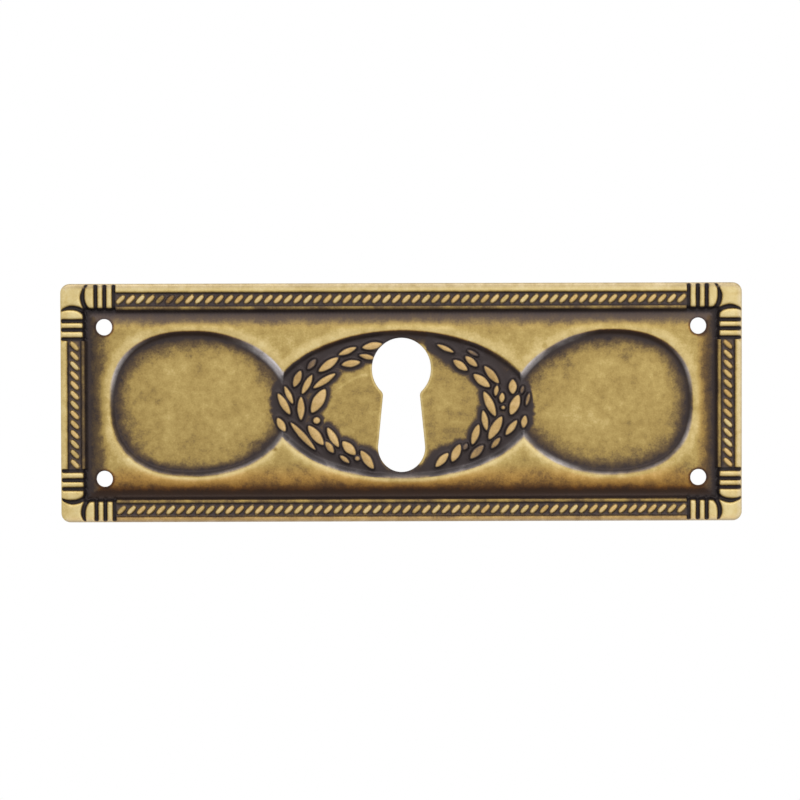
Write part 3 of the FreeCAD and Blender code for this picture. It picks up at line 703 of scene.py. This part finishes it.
def field_finish(at):
    """The finish inside the border: worn, warm, hazy and silvery, with painted shade and glints."""
    in_centre = ease(*IN_CENTRE, centre_oval_distance(at.x, at.z))
    leaf_top = ease(*LEAF_TOP, at.leaf)
    wide_shade = ease(*WIDE_SHADE_WIDTH, at.leaf) * ease(*WIDE_SHADE_DEPTH, at.sunk)
    shade = np.maximum(ease(*SHADE_WIDTH, at.leaf), wide_shade) * in_centre
    pin_ring = ease(*PIN_RING, at.pin)

    wear_and_shade = oval_wear_and_shade(at)
    wear_and_shade = wear_and_shade + (cushion_wear_and_shade(at) - wear_and_shade) * ease(*RIM_BLEND, at.sunk)
    floor_dulling = of_half(CENTRE_FLOOR_DULLING, at.x) * ease(*CENTRE_FLOOR, at.sunk)
    wear_and_shade = wear_and_shade - floor_dulling * in_centre
    wear_and_shade = wear_and_shade + marks(at.x, at.z)
    keyhole_rim = ease(*KEYHOLE_RIM, at.keyhole) * ease(*KEYHOLE_RIM_DEPTH, at.sunk)
    wear_and_shade = np.maximum(wear_and_shade, KEYHOLE_RIM_WEAR * keyhole_rim)
    wear_and_shade = wear_and_shade * (1.0 - SHADE_DULLING * shade)
    leaf_wear = LEAF_WEAR + LEAF_SHINE * at.leaf_shine
    wear_and_shade = wear_and_shade + (leaf_wear - wear_and_shade) * leaf_top * in_centre
    wear_and_shade = wear_and_shade * (1.0 - PIN_RING_DULLING * pin_ring)

    warm = LEAF_WARMTH * leaf_top * in_centre + cushion_warmth_and_shade(at)
    # Painted shade: the walls under the ovals' tops are painted brown
    shaded_brown_wall = overhead_shade_at(at) * ease(*OVERHEAD_SHADE_BROWN_START, at.sunk)
    warm = warm + OVERHEAD_SHADE_BROWN * shaded_brown_wall + PIN_RING_WARMTH * pin_ring

    haze = TOP_HAZE * at.at_top * between(TOP_HAZE_SIDES, at.inset)
    haze = np.maximum(haze, SHADE_HAZE * shade * (1.0 - leaf_top))

    glint = glint_at(at) * (1.0 - SHADE_GLINT_LOSS * shade)
    glint = np.maximum(glint, LEAF_GLINT * leaf_top * in_centre)
    return wear_and_shade, warm, haze, glint


def front(x, z):
    """The front's level and finish, 0 to 1: worn, warm, hazy, silvery, and painted shade and
    glints.
    """
    at = Places(x, z)
    *field, field_glint = field_finish(at)
    *border, border_glint = border_finish(at)
    finish = [inner + (outer - inner) * at.in_border for inner, outer in zip(field, border)]
    finish.append(np.maximum(field_glint, border_glint))
    return (front_level(at), *(np.clip(values, 0, 1) for values in finish))


# Back. The edge's rim is rubbed by the wood it lies on.
CHANNEL_END = (2.4, 3.2)
HOLLOW_RISE = 0.5
HOLLOW_INSETS = (4.3, 4.6)
HOLLOW_EDGE = (0.58, 0.82)
RIM_STEP = 0.15
CHANNEL_WEAR = 0.5
CHANNEL_LIGHT_SHARE = 0.45
CHANNEL_LIGHT_PLACE = 0.3
CHANNEL_LIGHT_WIDTH = (0.5, 0.0)
BACK_RIM_WEAR = 0.75
BACK_RIM_FADE = 0.1
BACK_FIELD_WEAR = 0.42
BACK_FIELD_START = (3.0, 4.0)
BACK_CREASE_DULLING = 0.3
BACK_CREASE = (0.7, 0.4)


def back(x, z):
    """The back's level and finish: hollow behind the border, and behind the cushion."""
    outline = rounded_inset(x, z)
    inset = np.minimum(*edge_insets(x, z))
    sunk = sunk_distance(x, z)
    channel = (TROUGH_LEVEL - SHEET) * ease(SHEET, SHEET + RIM_STEP, outline)
    level = channel + (FIELD_LEVEL - SHEET - channel) * ease(*CHANNEL_END, inset)
    level = level + HOLLOW_RISE * ease(*HOLLOW_INSETS, inset) * ease(*HOLLOW_EDGE, sunk)

    from_light = np.abs(outline - SHEET - CHANNEL_LIGHT_PLACE)
    light = (1.0 - CHANNEL_LIGHT_SHARE) * ease(*CHANNEL_LIGHT_WIDTH, from_light)
    wear_and_shade = CHANNEL_WEAR * (CHANNEL_LIGHT_SHARE + light)
    rim = ease(SHEET + BACK_RIM_FADE, SHEET - BACK_RIM_FADE, outline)
    wear_and_shade = np.maximum(wear_and_shade, BACK_RIM_WEAR * rim)
    field = BACK_FIELD_WEAR * ease(*BACK_FIELD_START, inset)
    field = field * (1.0 - BACK_CREASE_DULLING * bump_at(*BACK_CREASE, sunk))
    wear_and_shade = np.maximum(wear_and_shade, field)
    nothing = np.zeros(np.shape(x))
    return level, wear_and_shade, nothing, nothing, nothing


# Points over the plate

# Half the run of the long sides, how far out they lie, and whether they stand upright,
# and then the same of the ends
STRIPS = ((HALF_WIDTH, HALF_HEIGHT, False), (HALF_HEIGHT, HALF_WIDTH, True))
CARVED_REACH = ROPE_REACH + 0.2
EDGE_SPACINGS = (0.13, 0.45)
BACK_EDGE_SPACINGS = (0.3, 0.5)
ROW_SPACING = 0.45
BACK_ROW_SPACING = 0.4
ROPE_GAP = 0.12
STRAND_POINTS = 8
ROPE_ROWS = np.linspace(-0.56, 0.56, 12)
HOLE_SPACING = 0.15
WALL_SPACING = 0.28
BACK_WALL_SPACING = 0.4
FINE_SPACING = 0.13
PLAIN_SPACING = 0.5
BACK_SPACING = 0.6
BACK_HOLE_GAP = 0.12
FINE_HALVES = (36.0, 9.5)
CLOSEST = 0.05

# Rows of points by the inset, rings round the holes by the distance out of them, and rings
# along the ovals' walls by the distance out of the ovals
BORDER_ROWS = (0.55, 0.72, 0.80, 0.88, 0.96, 1.04, 1.12, 2.50, 2.60, 2.68, 2.76, 2.84,
               2.92, 3.00, 3.08, 3.16, 3.26, 3.36)
SLOPE_ROWS = (3.50, 3.62, 3.76, 3.92, 4.12, 4.36, 4.62, 4.90, 5.20, 5.52, 5.85)
HOLLOW_ROWS = (4.24, 4.32, 4.40, 4.50, 4.58, 4.66)
EDGE_ROWS = (0.03, 0.09, 0.17, 0.26, 0.36)
RIM_ROWS = (SHEET - 0.04, SHEET, SHEET + 0.03, SHEET + 0.07, SHEET + 0.11, SHEET + 0.15)
BAND_REACHES = np.arange(0.55, ROPE_REACH + 0.1, 0.13)
BAND_INSETS = np.concatenate([np.arange(0.5, 2.7, 0.15), np.arange(2.74, 3.5, 0.09)])
HOLE_RINGS = (0.03, 0.08, 0.15, 0.24, 0.36)
WALL_RINGS = (0.95, 0.72, 0.52, 0.36, 0.24, 0.14, 0.06, 0.0, -0.07, -0.15, -0.24, -0.34,
              -0.44, -0.54, -0.65, -0.76, -0.92, -1.1)
BACK_WALL_RINGS = (0.52, 0.60, 0.66, 0.74, 0.80, 0.88)

PINS = [(across * (HALF_WIDTH - PIN_INSET), up * (HALF_HEIGHT - PIN_INSET))
        for across in (-1, 1) for up in (-1, 1)]
HOLES = [((0.0, NECK_Z), keyhole_distance)] + [(pin, pin_distance) for pin in PINS]


def columns(half_run, fine, coarse, fine_reach):
    """Places along a side, evenly spaced but finer within a reach of its ends."""
    coarse_run = half_run - fine_reach
    middle = np.linspace(-coarse_run, coarse_run, max(2, round(2 * coarse_run / coarse)) + 1)
    end = np.linspace(coarse_run, half_run, round(fine_reach / fine) + 1)[1:]
    return np.concatenate([-end[::-1], middle, end])


def outline_loop(inset, spacings):
    """The plate's outline, anticlockwise as seen from the front, drawn in by an inset."""
    half_x = HALF_WIDTH - CORNER_RADIUS
    half_z = HALF_HEIGHT - CORNER_RADIUS
    radius = CORNER_RADIUS - inset
    long_side = columns(half_x, *spacings, CARVED_REACH - CORNER_RADIUS)
    short_side = columns(half_z, *spacings, CARVED_REACH - CORNER_RADIUS)
    steps = 12
    arc = np.radians(90.0) * np.arange(1, steps) / steps
    pieces = []
    for quarter in range(4):
        start = quarter * math.pi / 2
        run, depth, places = ((half_z, HALF_WIDTH, short_side) if quarter % 2 == 0
                              else (half_x, HALF_HEIGHT, long_side))
        away = depth - inset
        side_x = away * math.cos(start) - places * math.sin(start)
        side_z = away * math.sin(start) + places * math.cos(start)
        pieces.append(np.column_stack([side_x, side_z]))
        centre_away = depth - CORNER_RADIUS
        centre_x = centre_away * math.cos(start) - run * math.sin(start)
        centre_z = centre_away * math.sin(start) + run * math.cos(start)
        arc_x = centre_x + radius * np.cos(start + arc)
        arc_z = centre_z + radius * np.sin(start + arc)
        pieces.append(np.column_stack([arc_x, arc_z]))
    return np.concatenate(pieces)


def ring_at(distance, centre, angles, away):
    """Points around a centre, at the given angles, where a distance has a given value."""
    farthest = 24.0
    halvings = 40
    near = np.zeros(len(angles))
    far = np.full(len(angles), farthest)
    for _ in range(halvings):
        middle = (near + far) / 2
        x = centre[0] + middle * np.cos(angles)
        z = centre[1] + middle * np.sin(angles)
        inside = distance(x, z) < away
        near = np.where(inside, middle, near)
        far = np.where(inside, far, middle)
    return np.column_stack([centre[0] + near * np.cos(angles), centre[1] + near * np.sin(angles)])


def even_angles(distance, centre, spacing):
    """Angles around a centre that part the zero ring of a distance evenly."""
    angles = np.linspace(0.0, 2 * math.pi, 2001)
    ring = ring_at(distance, centre, angles, 0.0)
    steps = np.hypot(*np.diff(ring, axis=0).T)
    length = np.concatenate([[0.0], np.cumsum(steps)])
    count = round(length[-1] / spacing)
    return np.interp(np.arange(count) * length[-1] / count, length, angles)


def lattice(half_width, half_height, spacing):
    """A hexagonal lattice over a rectangle round the plate's middle."""
    rows = np.arange(-half_height, half_height, spacing * math.sqrt(3) / 2)
    points = []
    for number, z in enumerate(rows):
        xs = np.arange(-half_width + (number % 2) * spacing / 2, half_width, spacing)
        points.append(np.column_stack([xs, np.full(len(xs), z)]))
    return np.concatenate(points)


def turned(points, upright):
    """Points of the top and bottom, turned into points of the ends where upright."""
    return points[:, ::-1] if upright else points


def facing_rows(places, depth, upright):
    """Rows of points along two facing sides, at a depth from the plate's middle."""
    row = np.column_stack([places, np.full(len(places), depth)])
    return turned(np.concatenate([row, row * (1, -1)]), upright)


def full_rows(insets, spacing, strip):
    """Rows along two facing sides at some insets, each as long as its own rectangle."""
    half_run, depth, upright = strip
    for inset in insets:
        run = half_run - inset
        places = np.linspace(-run, run, round(2 * run / spacing))
        yield facing_rows(places, depth - inset, upright)


def rope_rows(strip):
    """Rows along the rope, sheared to follow its strands."""
    half_run, depth, upright = strip
    run = half_run - ROPE_REACH - ROPE_GAP
    strands = SHORT_STRANDS if upright else LONG_STRANDS
    places = np.linspace(-run, run, strands * STRAND_POINTS)
    for offset in ROPE_ROWS:
        for side in (-1, 1):
            aside = offset * side
            along = places + aside / math.tan(STRAND_LEAN) * (-1 if upright else 1)
            along = along[np.abs(along) < run + 0.05]
            outward = side * (depth - ROPE_INSET) + aside
            yield turned(np.column_stack([along, np.full(len(along), outward)]), upright)


def band_points(strip):
    """A grid over the corner bands, repeated over the four quarters of the plate."""
    half_run, depth, upright = strip
    reach, inset = np.meshgrid(BAND_REACHES, BAND_INSETS)
    kept = reach >= inset - 0.01
    block = np.column_stack([half_run - reach[kept], depth - inset[kept]])
    block = turned(block, upright)
    return np.concatenate([block * (sign_x, sign_z) for sign_x in (-1, 1) for sign_z in (-1, 1)])


def oval_rings(distances, spacing):
    """Rings of points round the three ovals, at distances out of their edges."""
    rings = []
    for across, distance in OVALS.values():
        centre = (across, 0.0)
        angles = even_angles(distance, centre, spacing)
        for away in distances:
            ring = ring_at(distance, centre, angles, away)
            own = np.abs(sunk_distance(*ring.T) - away) < 0.01
            rings.append(ring[own])
    return rings


EDGE_ZONE, BORDER_ZONE, HOLE_ZONE, FINE_ZONE, WALL_ZONE, SLOPE_ZONE, PLAIN_ZONE = range(7)
PLAIN_INSET = 5.95
WALL_START, WALL_END = -1.3, 1.0
FINE_END = 0.1
FAINTEST_MARK = 0.02
HOLE_REACH = 0.42
EDGE_REACH = EDGE_ROLL + 0.05


def zones(points):
    """Which kind of place each point is in, so that each is filled by one set of points."""
    x, z = points.T
    inset = np.minimum(*edge_insets(x, z + PRESSING_DROP))
    sunk = sunk_distance(x, z)
    zone = np.full(len(points), PLAIN_ZONE)
    zone[inset < PLAIN_INSET] = SLOPE_ZONE
    zone[(sunk > WALL_START) & (sunk < WALL_END)] = WALL_ZONE
    wreath = (leaf_at(x, z)[0] < WREATH_SPREAD) & (sunk < FINE_END)
    zone[wreath | (np.abs(marks(x, z)) > FAINTEST_MARK)] = FINE_ZONE
    zone[hole_distance(x, z) < HOLE_REACH] = HOLE_ZONE
    zone[inset < SLOPE_ROWS[0]] = BORDER_ZONE
    zone[rounded_inset(x, z) < EDGE_REACH] = EDGE_ZONE
    return zone


def front_points():
    """Points that carry the front's shapes, closer together where it is carved."""
    sets = []
    for strip in STRIPS:
        half_run, depth, upright = strip
        rope_run = half_run - ROPE_REACH - ROPE_GAP
        places = np.linspace(-rope_run, rope_run, round(2 * rope_run / ROW_SPACING))
        for inset in BORDER_ROWS:
            sets.append((BORDER_ZONE, facing_rows(places, depth - inset, upright)))
        sets += [(SLOPE_ZONE, rows) for rows in full_rows(SLOPE_ROWS, ROW_SPACING, strip)]
        sets += [(BORDER_ZONE, row) for row in rope_rows(strip)]
        sets.append((BORDER_ZONE, band_points(strip)))
    # All of these are pressed together. The rolled edge follows the plate's own outline.
    sets = [(zone, points - (0.0, PRESSING_DROP)) for zone, points in sets]
    sets += [(EDGE_ZONE, outline_loop(inset, EDGE_SPACINGS)) for inset in EDGE_ROWS]
    sets += [(WALL_ZONE, ring) for ring in oval_rings(WALL_RINGS, WALL_SPACING)]
    for centre, distance in HOLES:
        angles = even_angles(distance, centre, HOLE_SPACING)
        sets += [(HOLE_ZONE, ring_at(distance, centre, angles, away)) for away in HOLE_RINGS]
    sets.append((FINE_ZONE, lattice(*FINE_HALVES, FINE_SPACING)))
    sets.append((PLAIN_ZONE, lattice(HALF_WIDTH, HALF_HEIGHT, PLAIN_SPACING)))
    return np.concatenate([points[zones(points) == zone] for zone, points in sets])


def back_points():
    """Points that carry the back's shapes."""
    plain = lattice(HALF_WIDTH, HALF_HEIGHT, BACK_SPACING)
    sets = [plain[rounded_inset(*plain.T) > SHEET + 0.4]]
    sets += [outline_loop(inset, BACK_EDGE_SPACINGS) for inset in RIM_ROWS]
    sets += oval_rings(BACK_WALL_RINGS, BACK_WALL_SPACING)
    for strip in STRIPS:
        sets += full_rows(HOLLOW_ROWS, BACK_ROW_SPACING, strip)
    points = np.concatenate(sets)
    return points[hole_distance(*points.T) > BACK_HOLE_GAP]


def thinned(points):
    """Points without those that fall in the same small cell as an earlier one."""
    cells = np.round(points / CLOSEST).astype(np.int64)
    _, first = np.unique(cells, axis=0, return_index=True)
    return points[np.sort(first)]


def triangulate(points, loops):
    """Triangles over points inside the first loop and outside the others.

    The loops' points come first in the result, in their order. The triangles run
    anticlockwise over X and Z, which faces them to the front.
    """
    everything = np.concatenate(loops + [points])
    edges = []
    start = 0
    for loop in loops:
        count = len(loop)
        edges += [(start + number, start + (number + 1) % count) for number in range(count)]
        start += count
    vectors = [Vector((float(x), float(z))) for x, z in everything]
    _, _, faces, originals, _, _ = delaunay_2d_cdt(vectors, edges, [], 0, 1e-7)
    order = np.array([source[0] for source in originals])
    triangles = order[np.array(faces)]
    middles = everything[triangles].mean(axis=1)
    solid = (hole_distance(*middles.T) > 0.0) & (rounded_inset(*middles.T) > 0.0)
    return everything, triangles[solid]


def edge_walls(loops, front_count):
    """The quads that join the front to the back along each loop, and the back's rims."""
    walls = []
    rims = set()
    start = 0
    for loop_number, loop in enumerate(loops):
        count = len(loop)
        for number in range(count):
            here = start + number
            there = start + (number + 1) % count
            quad = (here, there, there + front_count, here + front_count)
            walls.append(quad if loop_number else quad[::-1])
            rims.add(tuple(sorted((here + front_count, there + front_count))))
        start += count
    return walls, rims


def build_plate():
    """The plate's mesh, in metres, with its finish kept as attributes of its points."""
    loops = [outline_loop(0.0, EDGE_SPACINGS)]
    for centre, distance in HOLES:
        angles = even_angles(distance, centre, HOLE_SPACING)
        loops.append(ring_at(distance, centre, angles, 0.0))
    front_places, front_faces = triangulate(thinned(front_points()), loops)
    back_places, back_faces = triangulate(thinned(back_points()), loops)
    front_count = len(front_places)

    surfaces = zip(front(*front_places.T), back(*back_places.T))
    levels, *finish = [np.concatenate(values) for values in surfaces]
    places = np.concatenate([front_places, back_places])
    coordinates = np.column_stack([places[:, 0], -levels, places[:, 1]]) * MM

    walls, rims = edge_walls(loops, front_count)
    faces = [tuple(face) for face in front_faces.tolist()]
    faces += [tuple(face) for face in (back_faces[:, ::-1] + front_count).tolist()]
    mesh = bpy.data.meshes.new(NODE + "_relief")
    mesh.from_pydata(coordinates.tolist(), [], faces + walls)
    for name, values in zip(("wear_and_shade", "warm", "haze", "glint"), finish):
        attribute = mesh.attributes.new(name, "FLOAT", "POINT")
        attribute.data.foreach_set("value", values.astype(np.float32))

    mesh.shade_smooth()
    flags = [tuple(sorted(edge.vertices)) in rims for edge in mesh.edges]
    edge_marks = mesh.attributes.new("sharp_edge", "BOOLEAN", "EDGE")
    edge_marks.data.foreach_set("value", flags)
    mesh.validate()
    mesh.update()
    return mesh


# Material. Colours are written as 0 to 255 steps of sRGB.

BRASS_COLOURS = (
    (0.00, (38, 30, 31)), (0.16, (58, 47, 44)), (0.34, (104, 84, 56)), (0.55, (166, 140, 80)),
    (0.70, (186, 161, 98)), (0.86, (210, 187, 128)), (1.00, (222, 204, 152)),
)
WARM_TINT = (255, 204, 138)
HAZE_COLOUR = (92, 80, 78)
# Painted silvery glints on the ovals' walls, and a paler tone on leaves and rolled edges
GLINT_COLOUR = (214, 208, 210)

# Noises by the size of their features, detail and roughness, and how much each changes
# the wear
BLOTCHES = (4.0, 3.0, 0.55)
MOTTLING = (1.1, 3.0, 0.65)
GRAIN = (0.22, 2.0, 0.55)
BLOTCH_SHARE = 0.28
MOTTLING_SHARE = 0.40
GRAIN_SHARE = 0.18


def linear(colour):
    """A colour as linear numbers."""
    shares = [step / 255.0 for step in colour]
    values = [share / 12.92 if share <= 0.04045 else ((share + 0.055) / 1.055) ** 2.4
              for share in shares]
    return (*values, 1.0)


def antique_brass():
    """Rubbed brass over a dark patina, led by wear with painted shade, warmth, haze and painted
    glints.
    """
    material = bpy.data.materials.new("antique_brass_patina")
    material.use_nodes = True
    tree = material.node_tree
    nodes = tree.nodes
    links = tree.links
    shader = nodes["Principled BSDF"]

    def put(kind, **settings):
        node = nodes.new("ShaderNode" + kind)
        for key, setting in settings.items():
            setattr(node, key, setting)
        return node

    def feed(socket, source):
        """Links a source to a socket, or sets the socket where the source is a value."""
        if isinstance(source, (float, tuple)):
            socket.default_value = source
        else:
            links.new(source, socket)

    def reading(name):
        return put("Attribute", attribute_name=name).outputs["Fac"]

    def maths(operation, first, second):
        node = put("Math", operation=operation)
        feed(node.inputs[0], first)
        feed(node.inputs[1], second)
        return node.outputs[0]

    def noise(size, detail, roughness):
        """Noise from -0.5 to 0.5, with features about size millimetres across."""
        texture = put("TexNoise")
        links.new(coordinates.outputs["Object"], texture.inputs["Vector"])
        texture.inputs["Scale"].default_value = 1.0 / (size * MM)
        texture.inputs["Detail"].default_value = detail
        texture.inputs["Roughness"].default_value = roughness
        return maths("SUBTRACT", texture.outputs["Fac"], 0.5)

    def mixed(share, first, second, blend="MIX"):
        node = put("Mix", data_type="RGBA", blend_type=blend)
        links.new(share, node.inputs["Factor"])
        # The node's colour sockets follow its number and vector ones
        feed(node.inputs[6], first)
        feed(node.inputs[7], second)
        return node.outputs[2]

    coordinates = put("TexCoord")
    wear_and_shade = reading("wear_and_shade")
    blotches = noise(*BLOTCHES)
    mottling = noise(*MOTTLING)
    grain = noise(*GRAIN)

    # Mottling shows most where the metal is neither bare nor fully dark
    middle = maths("MULTIPLY", maths("MULTIPLY", wear_and_shade, maths("SUBTRACT", 1.15, wear_and_shade)), 4.0)
    coarse = maths("MULTIPLY", blotches, BLOTCH_SHARE)
    change = maths("ADD", coarse, maths("MULTIPLY", mottling, MOTTLING_SHARE))
    change = maths("ADD", change, maths("MULTIPLY", grain, GRAIN_SHARE))
    mottled_wear_and_shade = maths("ADD", wear_and_shade, maths("MULTIPLY", change, middle))

    ramp = put("ValToRGB")
    stops = ramp.color_ramp.elements
    stops[0].color = linear(BRASS_COLOURS[0][1])
    stops[-1].color = linear(BRASS_COLOURS[-1][1])
    for position, colour in BRASS_COLOURS[1:-1]:
        stops.new(position).color = linear(colour)
    links.new(mottled_wear_and_shade, ramp.inputs["Fac"])

    # The warm tint also browns the painted shade under the ovals' tops and on the bottom slope
    colour = mixed(reading("warm"), ramp.outputs["Color"], linear(WARM_TINT), "MULTIPLY")
    colour = mixed(maths("MULTIPLY", reading("haze"), 0.8), colour, linear(HAZE_COLOUR))
    # The painted glints, broken into streaks by the mottling
    glint_streaks = maths("ADD", maths("MULTIPLY", mottling, 1.6), 0.95)
    glint = maths("MULTIPLY", reading("glint"), glint_streaks)
    colour = mixed(glint, colour, linear(GLINT_COLOUR))
    links.new(colour, shader.inputs["Base Color"])

    metal = maths("ADD", maths("MULTIPLY", mottled_wear_and_shade, 0.35), 0.55)
    links.new(metal, shader.inputs["Metallic"])
    rough = maths("ADD", maths("MULTIPLY", mottling, 0.2), 0.50)
    links.new(rough, shader.inputs["Roughness"])

    bump = put("Bump")
    bump.inputs["Strength"].default_value = 0.25
    bump.inputs["Distance"].default_value = 0.05 * MM
    links.new(maths("ADD", mottling, maths("MULTIPLY", grain, 0.6)), bump.inputs["Height"])
    links.new(bump.outputs["Normal"], shader.inputs["Normal"])
    return material


plate = bpy.data.objects.new(NODE + "_relief", build_plate())
bpy.context.scene.collection.objects.link(plate)
plate.data.materials.append(antique_brass())
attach(plate, "root")
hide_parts(NODE)


# Surroundings

WHITE = (1.0, 1.0, 1.0, 1.0)
WORLD_STRENGTH = 0.55


def seen_directly(tree):
    """1 for rays from the camera, and in gloss and glass, and 0 for the light that falls."""
    rays = tree.nodes.new("ShaderNodeLightPath")
    share = rays.outputs["Is Camera Ray"]
    for name in ("Is Glossy Ray", "Is Transmission Ray"):
        either = tree.nodes.new("ShaderNodeMath")
        either.operation = "MAXIMUM"
        tree.links.new(share, either.inputs[0])
        tree.links.new(rays.outputs[name], either.inputs[1])
        share = either.outputs[0]
    return share


def white_instead(tree, white_kind, share, surface, output):
    """Shows plain white in place of a surface, by a share."""
    white = tree.nodes.new(white_kind)
    white.inputs["Color"].default_value = WHITE
    white.inputs["Strength"].default_value = 1.0
    mix = tree.nodes.new("ShaderNodeMixShader")
    tree.links.new(share, mix.inputs[0])
    tree.links.new(surface, mix.inputs[1])
    tree.links.new(white.outputs[0], mix.inputs[2])
    tree.links.new(mix.outputs[0], output)


world = bpy.data.worlds.new("studio")
bpy.context.scene.world = world
world.use_nodes = True
world_tree = world.node_tree
light = world_tree.nodes["Background"]
light.inputs["Color"].default_value = WHITE
light.inputs["Strength"].default_value = WORLD_STRENGTH
white_instead(world_tree, "ShaderNodeBackground", seen_directly(world_tree), light.outputs[0],
              world_tree.nodes["World Output"].inputs["Surface"])

# The floor is plain white, but for the round patch that takes the plate's shadow
FLOOR_Z = -75.0 * MM
FLOOR_SIZE = 6.0
FLOOR_SHADE = 0.9
SHADOW_PATCH = (85.0 * MM, 125.0 * MM)


def pale_floor():
    """A matt white that turns into the plain white background away from the plate."""
    paint = bpy.data.materials.new("pale_floor")
    paint.use_nodes = True
    tree = paint.node_tree
    shader = tree.nodes["Principled BSDF"]
    shader.inputs["Base Color"].default_value = (FLOOR_SHADE, FLOOR_SHADE, FLOOR_SHADE, 1.0)
    shader.inputs["Roughness"].default_value = 0.9
    place = tree.nodes.new("ShaderNodeTexCoord")
    length = tree.nodes.new("ShaderNodeVectorMath")
    length.operation = "LENGTH"
    tree.links.new(place.outputs["Object"], length.inputs[0])
    fade = tree.nodes.new("ShaderNodeMapRange")
    fade.interpolation_type = "SMOOTHSTEP"
    fade.inputs["From Min"].default_value, fade.inputs["From Max"].default_value = SHADOW_PATCH
    tree.links.new(length.outputs["Value"], fade.inputs["Value"])
    share = tree.nodes.new("ShaderNodeMath")
    share.operation = "MULTIPLY"
    tree.links.new(fade.outputs["Result"], share.inputs[0])
    tree.links.new(seen_directly(tree), share.inputs[1])
    white_instead(tree, "ShaderNodeEmission", share.outputs[0], shader.outputs["BSDF"],
                  tree.nodes["Material Output"].inputs["Surface"])
    return paint


bpy.ops.mesh.primitive_plane_add(size=FLOOR_SIZE, location=(0.0, 0.0, FLOOR_Z))
floor = bpy.context.object
floor.name = "studio_floor"
floor.data.materials.append(pale_floor())


def soft_lamp(name, place, size, power):
    """A square area lamp that faces the plate."""
    lamp = bpy.data.lights.new(name, "AREA")
    lamp.size = size
    lamp.energy = power
    holder = bpy.data.objects.new(name, lamp)
    holder.location = place
    holder.rotation_euler = (-Vector(place)).to_track_quat("-Z", "Y").to_euler()
    bpy.context.scene.collection.objects.link(holder)


soft_lamp("key", (-0.10, -0.45, 0.60), 0.60, 1.6)
soft_lamp("fill", (0.35, -0.60, 0.15), 0.60, 0.8)

# The camera sees the plate from slightly above, at the photograph's size and tilt
CAMERA_DISTANCE = 0.50
CAMERA_AZIMUTH = math.radians(-0.5)
CAMERA_ELEVATION = math.radians(2.0)
CAMERA_ROLL = math.radians(-0.15)
SENSOR_WIDTH = 36.0
VIEW_WIDTH = 103.4 * MM
AIM = Vector((-0.20 * MM, -1.5 * MM, 0.30 * MM))

view = bpy.data.cameras.new("photo_view")
view.sensor_width = SENSOR_WIDTH
view.lens = SENSOR_WIDTH * CAMERA_DISTANCE / VIEW_WIDTH
view.clip_start = 0.01
camera = bpy.data.objects.new("photo_view", view)
outward = Vector((
    math.sin(CAMERA_AZIMUTH) * math.cos(CAMERA_ELEVATION),
    -math.cos(CAMERA_AZIMUTH) * math.cos(CAMERA_ELEVATION),
    math.sin(CAMERA_ELEVATION),
))
camera.location = AIM + outward * CAMERA_DISTANCE
camera.rotation_euler = (-outward).to_track_quat("-Z", "Y").to_euler()
camera.rotation_euler.rotate_axis("Z", CAMERA_ROLL)
bpy.context.scene.collection.objects.link(camera)
bpy.context.scene.camera = camera
bpy.context.scene.view_settings.view_transform = "Standard"
